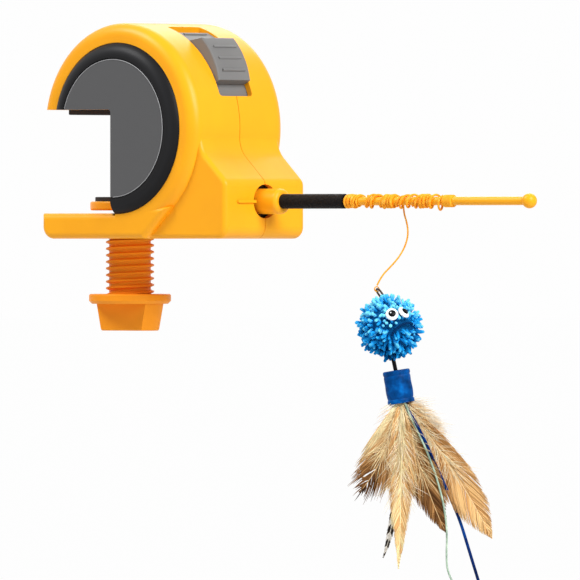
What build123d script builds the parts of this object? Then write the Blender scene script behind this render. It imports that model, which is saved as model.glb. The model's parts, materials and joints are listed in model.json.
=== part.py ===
import math
import os

from build123d import *

os.makedirs("parts", exist_ok=True)

# Automatic cat toy that clamps to a table edge, in millimetres.
# The origin is on the clamp screw's axis, on the table face of the upper jaw pad.
# +X points along the wand, +Y to the battery side, +Z up.

# Housing
drum_x = 18.2
drum_z = -5.6
drum_radius = 42.2
drum_width = 54.0
drum_edge = 5.0
wall = 2.4
floor_wall = 2.0
seam_width = 0.3
seam_depth = 0.5

# Clamp jaws
jaw_face_z = 2.0
throat_x = 17.2
throat_round = 1.2
plate_top_z = -39.6
base_z = -49.8
plate_rear_x = -23.8
plate_rear_round = 5.0
plate_edge = 2.5
belly_angle = 47.9

# Front foot
foot_front_x = 74.2
foot_width = 47.0
foot_toe_round = 4.8
foot_brow_z = -27.0
foot_brow_round = 4.0
foot_neck_x = 60.2
foot_neck_z = -14.0
foot_neck_round = 11.0
foot_edge = 2.0
wand_hole_radius = 6.84
index_rib_start = 5.9
index_rib_end = 16.6
index_rib_height = 1.1
index_rib_proud = 0.8

# Side covers
cover_radius = 34.2
cover_recess = 2.6
cover_proud = 2.8
cover_crown_share = 0.8
cover_crown_lean = 1 / 6
cover_disc_radius = 27.4
cover_groove_width = 0.8
cover_groove_depth = 0.6
cover_gap = 0.15
cover_peg_radius = 1.6
cover_peg_length = 1.8
cover_peg_circle = 28.0
cover_wall = 1.8
left_peg_angles = (-55.0, -15.0, 40.0, 100.0)
right_peg_angles = (-60.0, -8.0)
cover_screw_spot = (36.2, -18.2)
cover_screw_length = 9.0

# Housing screws, placed by x and z
screw_spots = ((-9.5, 8.6), (47.2, 5.6), (25.6, -35.8))
side_screw_x = (63.4, -18.4)
side_screw_sunk = 0.4
screw_boss_radius = 2.9
screw_shank_radius = 1.1
screw_head_radius = 2.5
screw_head_height = 1.8
screw_length = 30.0
screw_slot_width = 0.7
screw_slot_depth = 0.8
screw_slot_share = 1.4
screw_gap = 0.1

# Jaw pads
upper_pad_rear_x = -17.0
upper_pad_front_x = 15.0
upper_pad_width = 37.2
upper_pad_sunk = 0.6
pad_round = 1.2

# Clamp screw
thread_radius = 9.7
thread_core_radius = 8.4
thread_pitch = 2.65
thread_crest = 0.6
thread_root = 1.8
thread_gap = 0.25
thread_top_z = -40.2
neck_radius = 3.6
flange_top_z = -72.0
flange_radius = 16.5
flange_thickness = 4.0
knob_bottom_z = -86.8
knob_top_radius = 14.5
knob_bottom_radius = 12.2
grip_thickness = 10.5
grip_edge = 0.8
flange_round = 0.8
screw_hole_gap = 0.5
nut_size = 26.0
nut_gap = 0.1
nut_rib = 1.2

# Clamp foot under the table
foot_disc_radius = 16.0
foot_disc_bottom_z = -38.4
foot_disc_top_z = -34.8
foot_pad_radius = 14.0
foot_pad_round = 0.8
foot_pad_top_z = -33.0
foot_web_z = -36.9
foot_web_thickness = 1.0
neck_gap = 0.15
foot_screw_head_radius = 2.8
foot_screw_head_height = 0.9
foot_screw_radius = 1.3
foot_screw_length = 3.6

# Thumb slider, by angle from +X about the drum axis
slot_low_angle = 17.7
slot_high_angle = 75.0
slot_width = 19.2
slot_round = 1.6
slider_gap = 0.3
strip_thickness = 1.9
strip_low_angle = 8.5
strip_high_angle = 82.0
strip_width = 23.0
plate_high_angle = 67.5
plate_sunk = 0.7
thumb_low_angle = 26.0
thumb_high_angle = 50.0
thumb_ramp_angle = 57.5
thumb_low_proud = 1.8
thumb_high_proud = 5.1
thumb_round = 0.8
ridge_width = 13.0
ridge_radius = 0.55
ridge_angles = (31.0, 37.5, 44.0)
plate_ridge_angle = 65.0
rail_thickness = 1.2
slider_travel = 6.0

# Switch and circuit board
board_thickness = 1.4
board_y = -10.5
board_front_gap = 19.4
board_top_gap = 16.6
board_length = 19.0
board_height = 18.0
board_post_radius = 2.4
board_hole_inset = 3.0
board_screw_radius = 0.9
board_screw_head_radius = 1.8
board_screw_head_height = 1.1
board_screw_length = 5.0
switch_angle = 45.0
switch_gap = 2.4
switch_length = 12.5
switch_height = 5.0
switch_depth = 5.6
lever_length = 2.4
lever_depth = 2.6
lever_gap = 0.2
fork_height = 2.7
chip_size = 7.0
chip_height = 1.6
chip_chamfer = 0.32
chip_front_gap = 9.4
chip_top_gap = 12.5

# Batteries
cell_radius = 5.2
cell_length = 43.3
nub_radius = 1.9
nub_length = 1.2
cell_rear_x = -2.8
cell_y = 6.2
cell_spacing = 10.7
cell_lift = 0.3
contact_thickness = 0.4
contact_width = 7.0
contact_dome_radius = 2.4
contact_dome_height = 1.4
contact_dome_taper = 30.0
contact_gap = 0.05
tray_wall = 1.2
tray_gap = 0.2

# Gear train, along the wand axis
wand_z = -34.9
tooth_pressure_angle = 20.0
tooth_addendum = 0.85
tooth_dedendum = 1.3
tooth_backlash = 0.16
fine_module = 0.5
coarse_module = 0.6
motor_teeth = 10
wheel_teeth = 30
pinion_teeth = 10
output_teeth = 34
motor_radius = 10.0
motor_flat = 7.7
motor_rear_x = 23.0
motor_front_x = 44.0
motor_cap_length = 2.4
motor_boss_radius = 3.0
motor_boss_length = 1.4
motor_shaft_radius = 1.0
plate_thickness = 1.6
plate_half_width = 14.0
gear_plate_bottom_z = -47.0
rear_plate_top_z = -1.0
front_plate_top_z = -17.6
gear_plate_round = 3.0
stage_gap = 1.0
wheel_width = 3.6
output_width = 4.0
axle_radius = 1.0
shaft_radius = 2.0
running_gap = 0.05
press_gap = 0.02
bush_radius = 3.6
bush_flange_radius = 4.8
bush_flange = 0.8
post_radius = 1.7
post_y = 11.0
post_low_z = -42.6
post_high_z = -21.0
rib_height = 2.6
rib_thickness = 1.2
rib_gap = 0.1
motor_screw_radius = 0.9
motor_screw_head_radius = 1.8
motor_screw_head_height = 1.0
motor_screw_offset = 6.0

# Wand
socket_radius = 5.1
socket_end_x = 84.2
socket_round = 1.8
socket_rear_x = 60.4
socket_flange_radius = 7.4
socket_flange = 1.8
socket_flange_gap = 1.5
socket_grip_depth = 8.0
shaft_grip_depth = 7.0
sleeve_radius = 2.95
sleeve_end_x = 117.8
rod_radius = 1.7
rod_grip_depth = 36.0
tip_x = 215.6
tip_radius = 3.0
collar_x = 173.2
collar_width = 5.0
collar_radius = 2.5
collar_round = 0.6

# String
string_radius = 0.35
wind_gap = 0.06
wind_start_x = 119.0
cluster_turns = 5
cluster_pitch = 1.3
cluster_count = 3
stride_turns = 1.5
stride_length = 13.0
arcs_per_turn = 4
tangent_step = 0.25
gap_spacing = 0.15
skipped_turn = 6.0
near_reach = 4.0
bend_share = 0.45
string_x = 146.7

# Toy, in the plane that faces the front left, by distance along it and height
view_angle = 42.7
drop_route = (
    (0.0, 0.0),
    (0.1, -4.4),
    (1.5, -8.6),
    (2.0, -13.0),
    (0.9, -17.6),
    (-1.5, -22.0),
    (-5.0, -26.0),
    (-8.6, -29.6),
    (-10.4, -33.4),
)
knot_radius = 1.1
ring_wire_radius = 0.4
ring_length = 4.6
ring_width = 3.0
ring_u = -10.4
ring_v = -34.85
ring_lean = (-0.577, 0.817)
ring_turn = (-0.43, 0.9)
ball_u = -5.4
ball_v = -49.9
ball_radius = 12.0
eye_radius = 2.75
eye_height = 1.9
eye_sunk = 0.4
eye_round = 1.2
eye_facing = ((0.07, 0.42), (0.52, 0.55))
pupil_radius = 1.5
pupil_height = 0.35
mouth_route = ((1.8, -2.0), (6.6, 1.6), (11.0, 1.6))
mouth_depth = 0.9
link_radius = 0.8
link_gap = 0.3
link_u = -3.9
link_share = 0.2
sleeve_top = (-2.9, -66.9)
sleeve_bottom = (-0.7, -80.2)
sleeve_half_width = 5.3
sleeve_half_depth = 4.7
sleeve_wall = 0.8
hem_height = 2.2
hem_proud = 0.35
feather_thickness = 0.4
feather_layer = 0.7
feather_root = (-1.0, -78.4)
tail_radius = 0.4
tail_layer = 3.0
tail_route = (
    (-0.6, -76.0),
    (1.6, -83.0),
    (6.4, -92.5),
    (10.6, -102.0),
    (14.0, -112.0),
    (16.4, -122.0),
    (17.4, -132.0),
    (17.0, -141.0),
    (17.6, -147.6),
    (20.8, -153.2),
)
ribbon_width = 1.4
ribbon_thickness = 0.4
ribbon_layer = -0.7
ribbon_route = (
    (-0.8, -76.0),
    (2.0, -83.0),
    (7.6, -92.5),
    (12.6, -104.0),
    (17.6, -115.0),
    (22.4, -126.0),
    (26.0, -138.0),
    (30.6, -153.0),
)

# Feathers by name: bulge left, tip, bulge right, and layer towards the viewer
feathers = {
    "feather_barred": ((-4.6, -118.0), (-8.0, -141.5), (-1.4, -117.0), -3),
    "feather_down": ((7.6, -89.6), (17.4, -99.0), (11.6, -89.5), -2),
    "feather_right": ((13.8, -112.0), (35.2, -133.8), (26.2, -102.5), 0),
    "feather_middle": ((2.6, -110.0), (16.8, -131.2), (12.6, -106.0), 1),
    "feather_left": ((-11.6, -97.5), (-17.4, -115.2), (-4.6, -103.5), 2),
    "feather_long": ((-5.2, -115.0), (-2.0, -145.5), (3.2, -114.0), 3),
}

# Derived places
drum_axis = Axis((drum_x, 0, drum_z), (0, 1, 0))
half_width = drum_width / 2
foot_half = foot_width / 2
recess_y = half_width - cover_recess
cavity_half = recess_y - floor_wall
cavity_radius = drum_radius - wall
wind_radius = rod_radius + wind_gap + string_radius
screw_seat_y = foot_half - wall - screw_head_height
side_screw_z = base_z + wall + screw_boss_radius - side_screw_sunk
side_screw_spots = [(x, side_screw_z) for x in side_screw_x]
strip_outer = cavity_radius - slider_gap
strip_inner = strip_outer - strip_thickness
plate_radius = drum_radius - plate_sunk
thumb_low_radius = drum_radius + thumb_low_proud
thumb_high_radius = drum_radius + thumb_high_proud
board_front_x = drum_x + drum_radius - board_front_gap
board_rear_x = board_front_x - board_length
board_top_z = drum_z + drum_radius - board_top_gap
board_bottom_z = board_top_z - board_height
wheel_distance = fine_module * (motor_teeth + wheel_teeth) / 2
output_distance = coarse_module * (pinion_teeth + output_teeth) / 2
idler_z = wand_z + output_distance
motor_z = idler_z + wheel_distance
rear_plate_x = motor_front_x
wheel_x = rear_plate_x + plate_thickness + stage_gap
output_x = wheel_x + wheel_width + stage_gap
front_plate_x = output_x + output_width + stage_gap + bush_flange


def side_plane(y):
    return Plane.XZ.offset(-y)


def station(x):
    return Plane.YZ.offset(x)


def drum_point(radius, angle):
    turn = math.radians(angle)
    return (drum_x + radius * math.cos(turn), drum_z + radius * math.sin(turn))


def body_form(inset, width_half, front_half):
    # Outer shape of the housing, or the same shape drawn in by a wall
    with BuildPart() as drum:
        with BuildSketch(Plane.XZ):
            with Locations((drum_x, drum_z)):
                Circle(drum_radius - inset)
        extrude(amount=width_half, both=True)
        fillet(drum.edges().filter_by(GeomType.CIRCLE), drum_edge - inset)
    tangent = drum_point(drum_radius, -belly_angle)
    run = (tangent[1] - base_z) * math.tan(math.radians(belly_angle))
    with BuildPart() as plate:
        with BuildSketch(Plane.XZ):
            with BuildLine():
                FilletPolyline(
                    (plate_rear_x, plate_top_z),
                    (plate_rear_x, base_z),
                    (tangent[0] - run, base_z),
                    tangent,
                    (drum_x, tangent[1]),
                    (drum_x, plate_top_z),
                    radius=(0, plate_rear_round, 0, 0, 0, 0),
                    close=True,
                )
            make_face()
            if inset > 0:
                offset(amount=-inset, kind=Kind.INTERSECTION, mode=Mode.REPLACE)
        extrude(amount=width_half, both=True)
        if inset == 0:
            fillet(plate.faces().sort_by(Axis.Y)[-1].edges(), plate_edge)
            fillet(plate.faces().sort_by(Axis.Y)[0].edges(), plate_edge)
    with BuildPart() as foot:
        with BuildSketch(Plane.XZ):
            with BuildLine():
                FilletPolyline(
                    (drum_x, base_z),
                    (foot_front_x, base_z),
                    (foot_front_x, foot_brow_z),
                    (foot_neck_x, foot_neck_z),
                    (foot_neck_x, drum_z),
                    (drum_x, drum_z),
                    radius=(0, foot_toe_round, foot_brow_round, foot_neck_round, 0, 0),
                    close=True,
                )
            make_face()
            if inset > 0:
                offset(amount=-inset, kind=Kind.INTERSECTION, mode=Mode.REPLACE)
        extrude(amount=front_half, both=True)
        if inset == 0:
            fillet(foot.faces().sort_by(Axis.Y)[-1].edges(), foot_edge)
            fillet(foot.faces().sort_by(Axis.Y)[0].edges(), foot_edge)
    with BuildPart() as form:
        add(drum.part)
        add(notch_form(inset, plate_edge), mode=Mode.SUBTRACT)
        add(plate.part)
        add(foot.part)
        add(notch_form(inset), mode=Mode.SUBTRACT)
    return form.part


def notch_form(grow, sink=0):
    # Space between the jaws that the table edge goes into
    reach = 2 * drum_radius
    with BuildPart() as notch:
        with BuildSketch(Plane.XZ):
            with BuildLine():
                FilletPolyline(
                    (throat_x - reach, plate_top_z - grow - sink),
                    (throat_x + grow, plate_top_z - grow - sink),
                    (throat_x + grow, jaw_face_z + grow),
                    (throat_x - reach, jaw_face_z + grow),
                    radius=(0, 0, throat_round + grow, 0),
                    close=True,
                )
            make_face()
        extrude(amount=drum_width, both=True)
    return notch.part


def sector_form(inner, outer, low, high, y_from, y_to):
    # Block between two radii and two angles about the drum axis
    with BuildPart() as sector:
        with BuildSketch(side_plane(y_to)):
            with BuildLine():
                low_edge = Line(drum_point(inner, low), drum_point(outer, low))
                middle = (low + high) / 2
                ThreePointArc(low_edge @ 1, drum_point(outer, middle), drum_point(outer, high))
                Line(drum_point(outer, high), drum_point(inner, high))
                ThreePointArc(drum_point(inner, high), drum_point(inner, middle), low_edge @ 0)
            make_face()
        extrude(amount=y_to - y_from)
    return sector.part


def screw_form(x, z, head_y, radius, head_radius, head_height, length, slot_width, slot_depth):
    # Pan-head screw that points along -Y from its head
    with BuildPart() as screw:
        with BuildSketch(side_plane(head_y)):
            with Locations((x, z)):
                Circle(head_radius)
        extrude(amount=-head_height)
        fillet(screw.edges().sort_by(Axis.Y)[-1], head_height / 3)
        with BuildSketch(side_plane(head_y)):
            with Locations((x, z)):
                Circle(radius)
        extrude(amount=length)
        chamfer(screw.edges().sort_by(Axis.Y)[0], radius / 2)
        with BuildSketch(side_plane(head_y + head_height)):
            with Locations((x, z)):
                Rectangle(screw_slot_share * head_radius, slot_width)
                Rectangle(slot_width, screw_slot_share * head_radius)
        extrude(amount=slot_depth, mode=Mode.SUBTRACT)
    return screw.part


def knob_form():
    # Flange with a tapered grip bar below it
    flange_z = flange_top_z - flange_thickness
    with BuildPart() as bar:
        with BuildSketch(Plane.XY.offset(flange_z)):
            Circle(knob_top_radius)
        with BuildSketch(Plane.XY.offset(knob_bottom_z)):
            Circle(knob_bottom_radius)
        loft()
        with BuildSketch(Plane.XY.offset(knob_bottom_z)):
            Rectangle(4 * knob_top_radius, grip_thickness)
        extrude(amount=flange_z - knob_bottom_z, mode=Mode.INTERSECT)
        fillet(bar.edges().filter_by(Axis.Z, reverse=True).sort_by(Axis.Z)[0:4], grip_edge)
    with BuildPart() as knob:
        with BuildSketch(Plane.XY.offset(flange_z)):
            Circle(flange_radius)
        extrude(amount=flange_thickness)
        fillet(knob.edges().sort_by(Axis.Z)[-1], flange_round)
        chamfer(knob.edges().sort_by(Axis.Z)[0], flange_radius - knob_top_radius - flange_round)
        add(bar.part)
    return knob.part


# Housing shell before it is parted
outer_form = body_form(0, half_width, foot_half)
cavity_form = body_form(wall, cavity_half, foot_half - wall)

with BuildPart() as slot_form:
    add(
        sector_form(
            strip_inner, thumb_high_radius, slot_low_angle, slot_high_angle,
            -slot_width / 2, slot_width / 2,
        )
    )
    corner_lines = slot_form.edges().filter_by(GeomType.LINE).filter_by(Axis.Y, reverse=True)
    fillet(corner_lines, slot_round)

with BuildPart() as rails:
    for side in (-1, 1):
        inner_y = strip_width / 2 + slider_gap
        outer_y = inner_y + rail_thickness
        lip_y = inner_y - rail_thickness
        hook = strip_inner - slider_gap
        add(
            sector_form(
                hook - rail_thickness, cavity_radius + wall / 2, strip_low_angle, strip_high_angle,
                min(side * inner_y, side * outer_y), max(side * inner_y, side * outer_y),
            )
        )
        add(
            sector_form(
                hook - rail_thickness, hook, strip_low_angle, strip_high_angle,
                min(side * lip_y, side * outer_y), max(side * lip_y, side * outer_y),
            )
        )

with BuildPart() as bosses:
    for x, z in screw_spots:
        with BuildSketch(side_plane(recess_y)):
            with Locations((x, z)):
                Circle(screw_boss_radius)
        extrude(amount=2 * recess_y)
    for x, z in side_screw_spots:
        with BuildSketch(side_plane(foot_half - wall)):
            with Locations((x, z)):
                Circle(screw_boss_radius)
        extrude(amount=2 * (foot_half - wall))
    add(cavity_form, mode=Mode.INTERSECT)

nut_half = nut_size / 2 + nut_gap
with BuildPart() as nut_ribs:
    with BuildSketch(Plane.XY.offset(base_z + wall)):
        Rectangle(2 * (nut_half + nut_rib), 2 * (nut_half + nut_rib))
        Rectangle(2 * nut_half, 2 * nut_half, mode=Mode.SUBTRACT)
    extrude(amount=plate_top_z - base_z - 2 * wall)

with BuildPart() as gear_ribs:
    for plate_x in (rear_plate_x, front_plate_x):
        for rib_x in (plate_x - rib_gap - rib_thickness, plate_x + plate_thickness + rib_gap):
            with BuildSketch(station(rib_x)):
                with Locations((0, base_z + wall)):
                    Rectangle(
                        2 * plate_half_width, rib_height, align=(Align.CENTER, Align.MIN)
                    )
            extrude(amount=rib_thickness)

board_spots = (
    (board_rear_x + board_hole_inset, board_bottom_z + board_hole_inset),
    (board_rear_x + board_hole_inset, board_top_z - board_hole_inset),
)
with BuildPart() as board_posts:
    for x, z in board_spots:
        with BuildSketch(side_plane(board_y - board_thickness)):
            with Locations((x, z)):
                Circle(board_post_radius)
        extrude(amount=cavity_half + board_y - board_thickness)

contact_rear_x = cell_rear_x - contact_gap - contact_dome_height - contact_thickness
contact_front_x = cell_rear_x + cell_length + nub_length + contact_gap
tray_rear_x = contact_rear_x - tray_wall
tray_front_x = contact_front_x + contact_thickness + tray_wall
tray_bottom_z = jaw_face_z + wall + tray_gap
cell_z = tray_bottom_z + tray_wall + cell_lift + cell_radius
window_top_z = cell_z + cell_radius + cell_lift
cell_places = (cell_y, cell_y + cell_spacing)

with BuildPart() as battery_window:
    with BuildSketch(side_plane(recess_y)):
        with Locations(((tray_rear_x + tray_front_x) / 2, (tray_bottom_z + window_top_z) / 2)):
            Rectangle(tray_front_x - tray_rear_x, window_top_z - tray_bottom_z)
    extrude(amount=floor_wall)

with BuildPart() as shell:
    add(outer_form)
    add(cavity_form, mode=Mode.SUBTRACT)
    add(rails.part)
    add(bosses.part)
    add(nut_ribs.part)
    add(gear_ribs.part)
    # Wand hole through the front face
    with BuildSketch(station(foot_front_x)):
        with Locations((0, wand_z)):
            Circle(wand_hole_radius)
    extrude(amount=-2 * wall, mode=Mode.SUBTRACT)
    # Index rib beside the wand hole
    with BuildSketch(station(foot_front_x + index_rib_proud)):
        with Locations((-(index_rib_start + index_rib_end) / 2, wand_z)):
            SlotOverall(index_rib_end - index_rib_start, index_rib_height)
    extrude(amount=-(index_rib_proud + wall / 2))
    # Recesses of the side covers
    for side in (-1, 1):
        with BuildSketch(side_plane(side * recess_y)):
            with Locations((drum_x, drum_z)):
                Circle(cover_radius + cover_gap)
        extrude(amount=-side * drum_width, mode=Mode.SUBTRACT)
    # Thumb slot, screw passage and recess of the upper pad
    add(slot_form.part, mode=Mode.SUBTRACT)
    with BuildSketch(Plane.XY.offset(base_z)):
        Circle(thread_radius + screw_hole_gap)
    extrude(amount=plate_top_z - base_z, mode=Mode.SUBTRACT)
    with BuildSketch(Plane.XY.offset(jaw_face_z)):
        with Locations(((upper_pad_rear_x + upper_pad_front_x) / 2, 0)):
            RectangleRounded(
                upper_pad_front_x - upper_pad_rear_x + 2 * cover_gap,
                upper_pad_width + 2 * cover_gap,
                pad_round + cover_gap,
            )
    extrude(amount=upper_pad_sunk, mode=Mode.SUBTRACT)

with BuildPart() as seam:
    add(outer_form)
    add(body_form(seam_depth, half_width, foot_half), mode=Mode.SUBTRACT)
    with BuildSketch(Plane.XZ):
        with Locations((drum_x, drum_z)):
            Rectangle(6 * drum_radius, 6 * drum_radius)
    extrude(amount=seam_width / 2, both=True, mode=Mode.INTERSECT)


def peg_spots(side):
    angles = left_peg_angles if side < 0 else right_peg_angles
    return [drum_point(cover_peg_circle, angle) for angle in angles]


def housing_half(side):
    with BuildPart() as half:
        add(shell.part)
        split(bisect_by=Plane.XZ, keep=Keep.TOP if side < 0 else Keep.BOTTOM)
        add(seam.part, mode=Mode.SUBTRACT)
        if side < 0:
            add(board_posts.part)
        for x, z in peg_spots(side):
            with BuildSketch(side_plane(side * recess_y)):
                with Locations((x, z)):
                    Circle(cover_peg_radius + cover_gap)
            extrude(amount=side * floor_wall, mode=Mode.SUBTRACT)
        if side > 0:
            add(battery_window.part, mode=Mode.SUBTRACT)
            with BuildSketch(side_plane(cavity_half)):
                with Locations(cover_screw_spot):
                    Circle(screw_boss_radius)
            extrude(amount=cover_screw_length)
            with BuildSketch(side_plane(recess_y)):
                with Locations(cover_screw_spot):
                    Circle(screw_shank_radius + press_gap)
            extrude(amount=cover_screw_length, mode=Mode.SUBTRACT)
        for x, z in (*screw_spots, *side_screw_spots):
            hole = screw_shank_radius + screw_gap
            with BuildSketch(Plane.XZ):
                with Locations((x, z)):
                    Circle(hole)
            if side > 0:
                extrude(amount=-half_width, mode=Mode.SUBTRACT)
            else:
                extrude(amount=screw_length - screw_seat_y + screw_gap, mode=Mode.SUBTRACT)
            if side > 0:
                with BuildSketch(side_plane(half_width)):
                    with Locations((x, z)):
                        Circle(screw_head_radius + screw_gap)
                extrude(amount=half_width - screw_seat_y, mode=Mode.SUBTRACT)
        if side < 0:
            for x, z in board_spots:
                with BuildSketch(side_plane(board_y - board_thickness)):
                    with Locations((x, z)):
                        Circle(board_screw_radius + press_gap)
                extrude(amount=board_screw_length, mode=Mode.SUBTRACT)
    return half.part


with BuildPart() as housing_left:
    add(housing_half(-1))
housing_left.part.label = "housing_left"
export_step(housing_left.part, "parts/housing_left.step")

with BuildPart() as housing_right:
    add(housing_half(1))
housing_right.part.label = "housing_right"
export_step(housing_right.part, "parts/housing_right.step")

with BuildPart() as housing_screws:
    for x, z in (*screw_spots, *side_screw_spots):
        add(
            screw_form(
                x, z, screw_seat_y, screw_shank_radius, screw_head_radius, screw_head_height,
                screw_length, screw_slot_width, screw_slot_depth,
            )
        )
housing_screws.part.label = "housing_screws"
export_step(housing_screws.part, "parts/housing_screws.step")


def cover_form(side):
    # Round side cover with a convex ring, cut away where the table goes in
    crown = half_width + cover_proud
    groove_radius = cover_disc_radius + cover_groove_width
    groove_floor = crown - cover_groove_depth
    ring_middle = (
        (cover_radius + groove_radius) / 2 + cover_proud * cover_crown_lean,
        side * (half_width + cover_proud * cover_crown_share),
    )
    with BuildPart() as pocket:
        with BuildSketch(side_plane(side * recess_y)):
            with Locations((drum_x, drum_z)):
                Circle(cover_disc_radius - cover_wall)
        extrude(amount=-side * (crown - recess_y - cover_wall))
        add(notch_form(cover_wall), mode=Mode.SUBTRACT)
        if side > 0:
            with BuildSketch(side_plane(recess_y)):
                with Locations(cover_screw_spot):
                    Circle(screw_head_radius + cover_wall)
            extrude(amount=-(crown - recess_y), mode=Mode.SUBTRACT)
    with BuildPart() as cover:
        with BuildSketch(Plane((drum_x, 0, drum_z))):
            with BuildLine():
                Polyline(
                    (0, side * crown),
                    (0, side * recess_y),
                    (cover_radius, side * recess_y),
                    (cover_radius, side * half_width),
                )
                ThreePointArc(
                    (cover_radius, side * half_width), ring_middle, (groove_radius, side * crown)
                )
                Polyline(
                    (groove_radius, side * crown),
                    (groove_radius, side * groove_floor),
                    (cover_disc_radius, side * groove_floor),
                    (cover_disc_radius, side * crown),
                    (0, side * crown),
                )
            make_face()
        revolve(axis=drum_axis)
        add(pocket.part, mode=Mode.SUBTRACT)
        for x, z in peg_spots(side):
            with BuildSketch(side_plane(side * recess_y)):
                with Locations((x, z)):
                    Circle(cover_peg_radius)
            extrude(amount=side * cover_peg_length)
        if side > 0:
            with BuildSketch(side_plane(crown)):
                with Locations(cover_screw_spot):
                    Circle(screw_head_radius + screw_gap)
            extrude(amount=screw_head_height + screw_gap, mode=Mode.SUBTRACT)
            with BuildSketch(side_plane(crown)):
                with Locations(cover_screw_spot):
                    Circle(screw_shank_radius + screw_gap)
            extrude(amount=crown - recess_y, mode=Mode.SUBTRACT)
        add(notch_form(0), mode=Mode.SUBTRACT)
    return cover.part


with BuildPart() as side_cover:
    add(cover_form(-1))
side_cover.part.label = "side_cover"
export_step(side_cover.part, "parts/side_cover.step")

with BuildPart() as battery_cover:
    add(cover_form(1))
battery_cover.part.label = "battery_cover"
export_step(battery_cover.part, "parts/battery_cover.step")

with BuildPart() as battery_cover_screw:
    add(
        screw_form(
            *cover_screw_spot, half_width + cover_proud - screw_head_height - screw_gap,
            screw_shank_radius, screw_head_radius, screw_head_height, cover_screw_length,
            screw_slot_width, screw_slot_depth,
        )
    )
battery_cover_screw.part.label = "battery_cover_screw"
export_step(battery_cover_screw.part, "parts/battery_cover_screw.step")

# Rubber pad under the upper jaw
with BuildPart() as upper_jaw_pad:
    with BuildSketch(Plane.XY):
        with Locations(((upper_pad_rear_x + upper_pad_front_x) / 2, 0)):
            RectangleRounded(upper_pad_front_x - upper_pad_rear_x, upper_pad_width, pad_round)
    extrude(amount=jaw_face_z + upper_pad_sunk)
    chamfer(upper_jaw_pad.faces().sort_by(Axis.Z)[0].edges(), pad_round / 4)
upper_jaw_pad.part.label = "upper_jaw_pad"
export_step(upper_jaw_pad.part, "parts/upper_jaw_pad.step")

# Clamp screw and its captive nut
thread_start_z = flange_top_z - flange_thickness / 2
thread_turns = math.ceil((thread_top_z - thread_start_z) / thread_pitch) + 1
nut_bottom_z = base_z + wall + nut_gap
nut_top_z = plate_top_z - wall - nut_gap
nut_lead = math.floor((nut_bottom_z - thread_start_z) / thread_pitch) - 1
nut_turns = math.ceil((nut_top_z - nut_bottom_z) / thread_pitch) + 3


def thread_form(start_z, turns, gap):
    # Helical ridge, drawn larger by a gap where it cuts the nut
    inner = thread_core_radius - thread_gap + gap
    outer = thread_radius + gap
    with BuildPart() as ridge:
        with BuildLine() as path:
            Helix(thread_pitch, turns * thread_pitch, thread_core_radius, center=(0, 0, start_z))
        with BuildSketch(Plane.XZ):
            with BuildLine():
                Polyline(
                    (inner, start_z - thread_root / 2 - gap),
                    (outer, start_z - thread_crest / 2 - gap),
                    (outer, start_z + thread_crest / 2 + gap),
                    (inner, start_z + thread_root / 2 + gap),
                    close=True,
                )
            make_face()
        sweep(path=path.wires()[0], is_frenet=True)
    return ridge.part


with BuildPart() as clamp_screw:
    add(thread_form(thread_start_z, thread_turns, 0))
    with BuildSketch(Plane.XY.offset(thread_top_z)):
        Circle(2 * thread_radius)
    extrude(amount=3 * thread_pitch, mode=Mode.SUBTRACT)
    with BuildSketch(Plane.XY.offset(thread_start_z)):
        Circle(thread_core_radius)
    extrude(amount=thread_top_z - thread_start_z)
    with BuildSketch(Plane.XY.offset(thread_top_z)):
        Circle(neck_radius)
    extrude(amount=foot_web_z - neck_gap - thread_top_z)
    with BuildSketch(Plane.XY.offset(foot_web_z - neck_gap)):
        Circle(foot_screw_radius + press_gap)
    extrude(amount=-foot_screw_length, mode=Mode.SUBTRACT)
    add(knob_form())
clamp_screw.part.label = "clamp_screw"
export_step(clamp_screw.part, "parts/clamp_screw.step")

with BuildPart() as clamp_nut:
    with BuildSketch(Plane.XY.offset(nut_bottom_z)):
        Rectangle(nut_size, nut_size)
        Circle(thread_core_radius + thread_gap, mode=Mode.SUBTRACT)
    extrude(amount=nut_top_z - nut_bottom_z)
    add(
        thread_form(thread_start_z + nut_lead * thread_pitch, nut_turns, thread_gap),
        mode=Mode.SUBTRACT,
    )
clamp_nut.part.label = "clamp_nut"
export_step(clamp_nut.part, "parts/clamp_nut.step")

# Swivel foot that presses up under the table
with BuildPart() as clamp_foot:
    with BuildSketch(Plane.XY.offset(foot_disc_bottom_z)):
        Circle(foot_disc_radius)
    extrude(amount=foot_disc_top_z - foot_disc_bottom_z)
    fillet(clamp_foot.edges(), foot_pad_round)
    with BuildSketch(Plane.XY.offset(foot_disc_bottom_z)):
        Circle(neck_radius + neck_gap)
    extrude(amount=foot_web_z - foot_disc_bottom_z, mode=Mode.SUBTRACT)
    with BuildSketch(Plane.XY.offset(foot_disc_bottom_z)):
        Circle(foot_screw_radius + neck_gap)
    extrude(amount=foot_disc_top_z - foot_disc_bottom_z, mode=Mode.SUBTRACT)
    with BuildSketch(Plane.XY.offset(foot_web_z + foot_web_thickness)):
        Circle(foot_screw_head_radius + neck_gap)
    extrude(amount=foot_disc_top_z - foot_web_z, mode=Mode.SUBTRACT)
clamp_foot.part.label = "clamp_foot"
export_step(clamp_foot.part, "parts/clamp_foot.step")

with BuildPart() as clamp_foot_pad:
    with BuildSketch(Plane.XY.offset(foot_disc_top_z)):
        Circle(foot_pad_radius)
    extrude(amount=foot_pad_top_z - foot_disc_top_z)
    fillet(clamp_foot_pad.edges().sort_by(Axis.Z)[-1], foot_pad_round / 2)
clamp_foot_pad.part.label = "clamp_foot_pad"
export_step(clamp_foot_pad.part, "parts/clamp_foot_pad.step")

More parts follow.
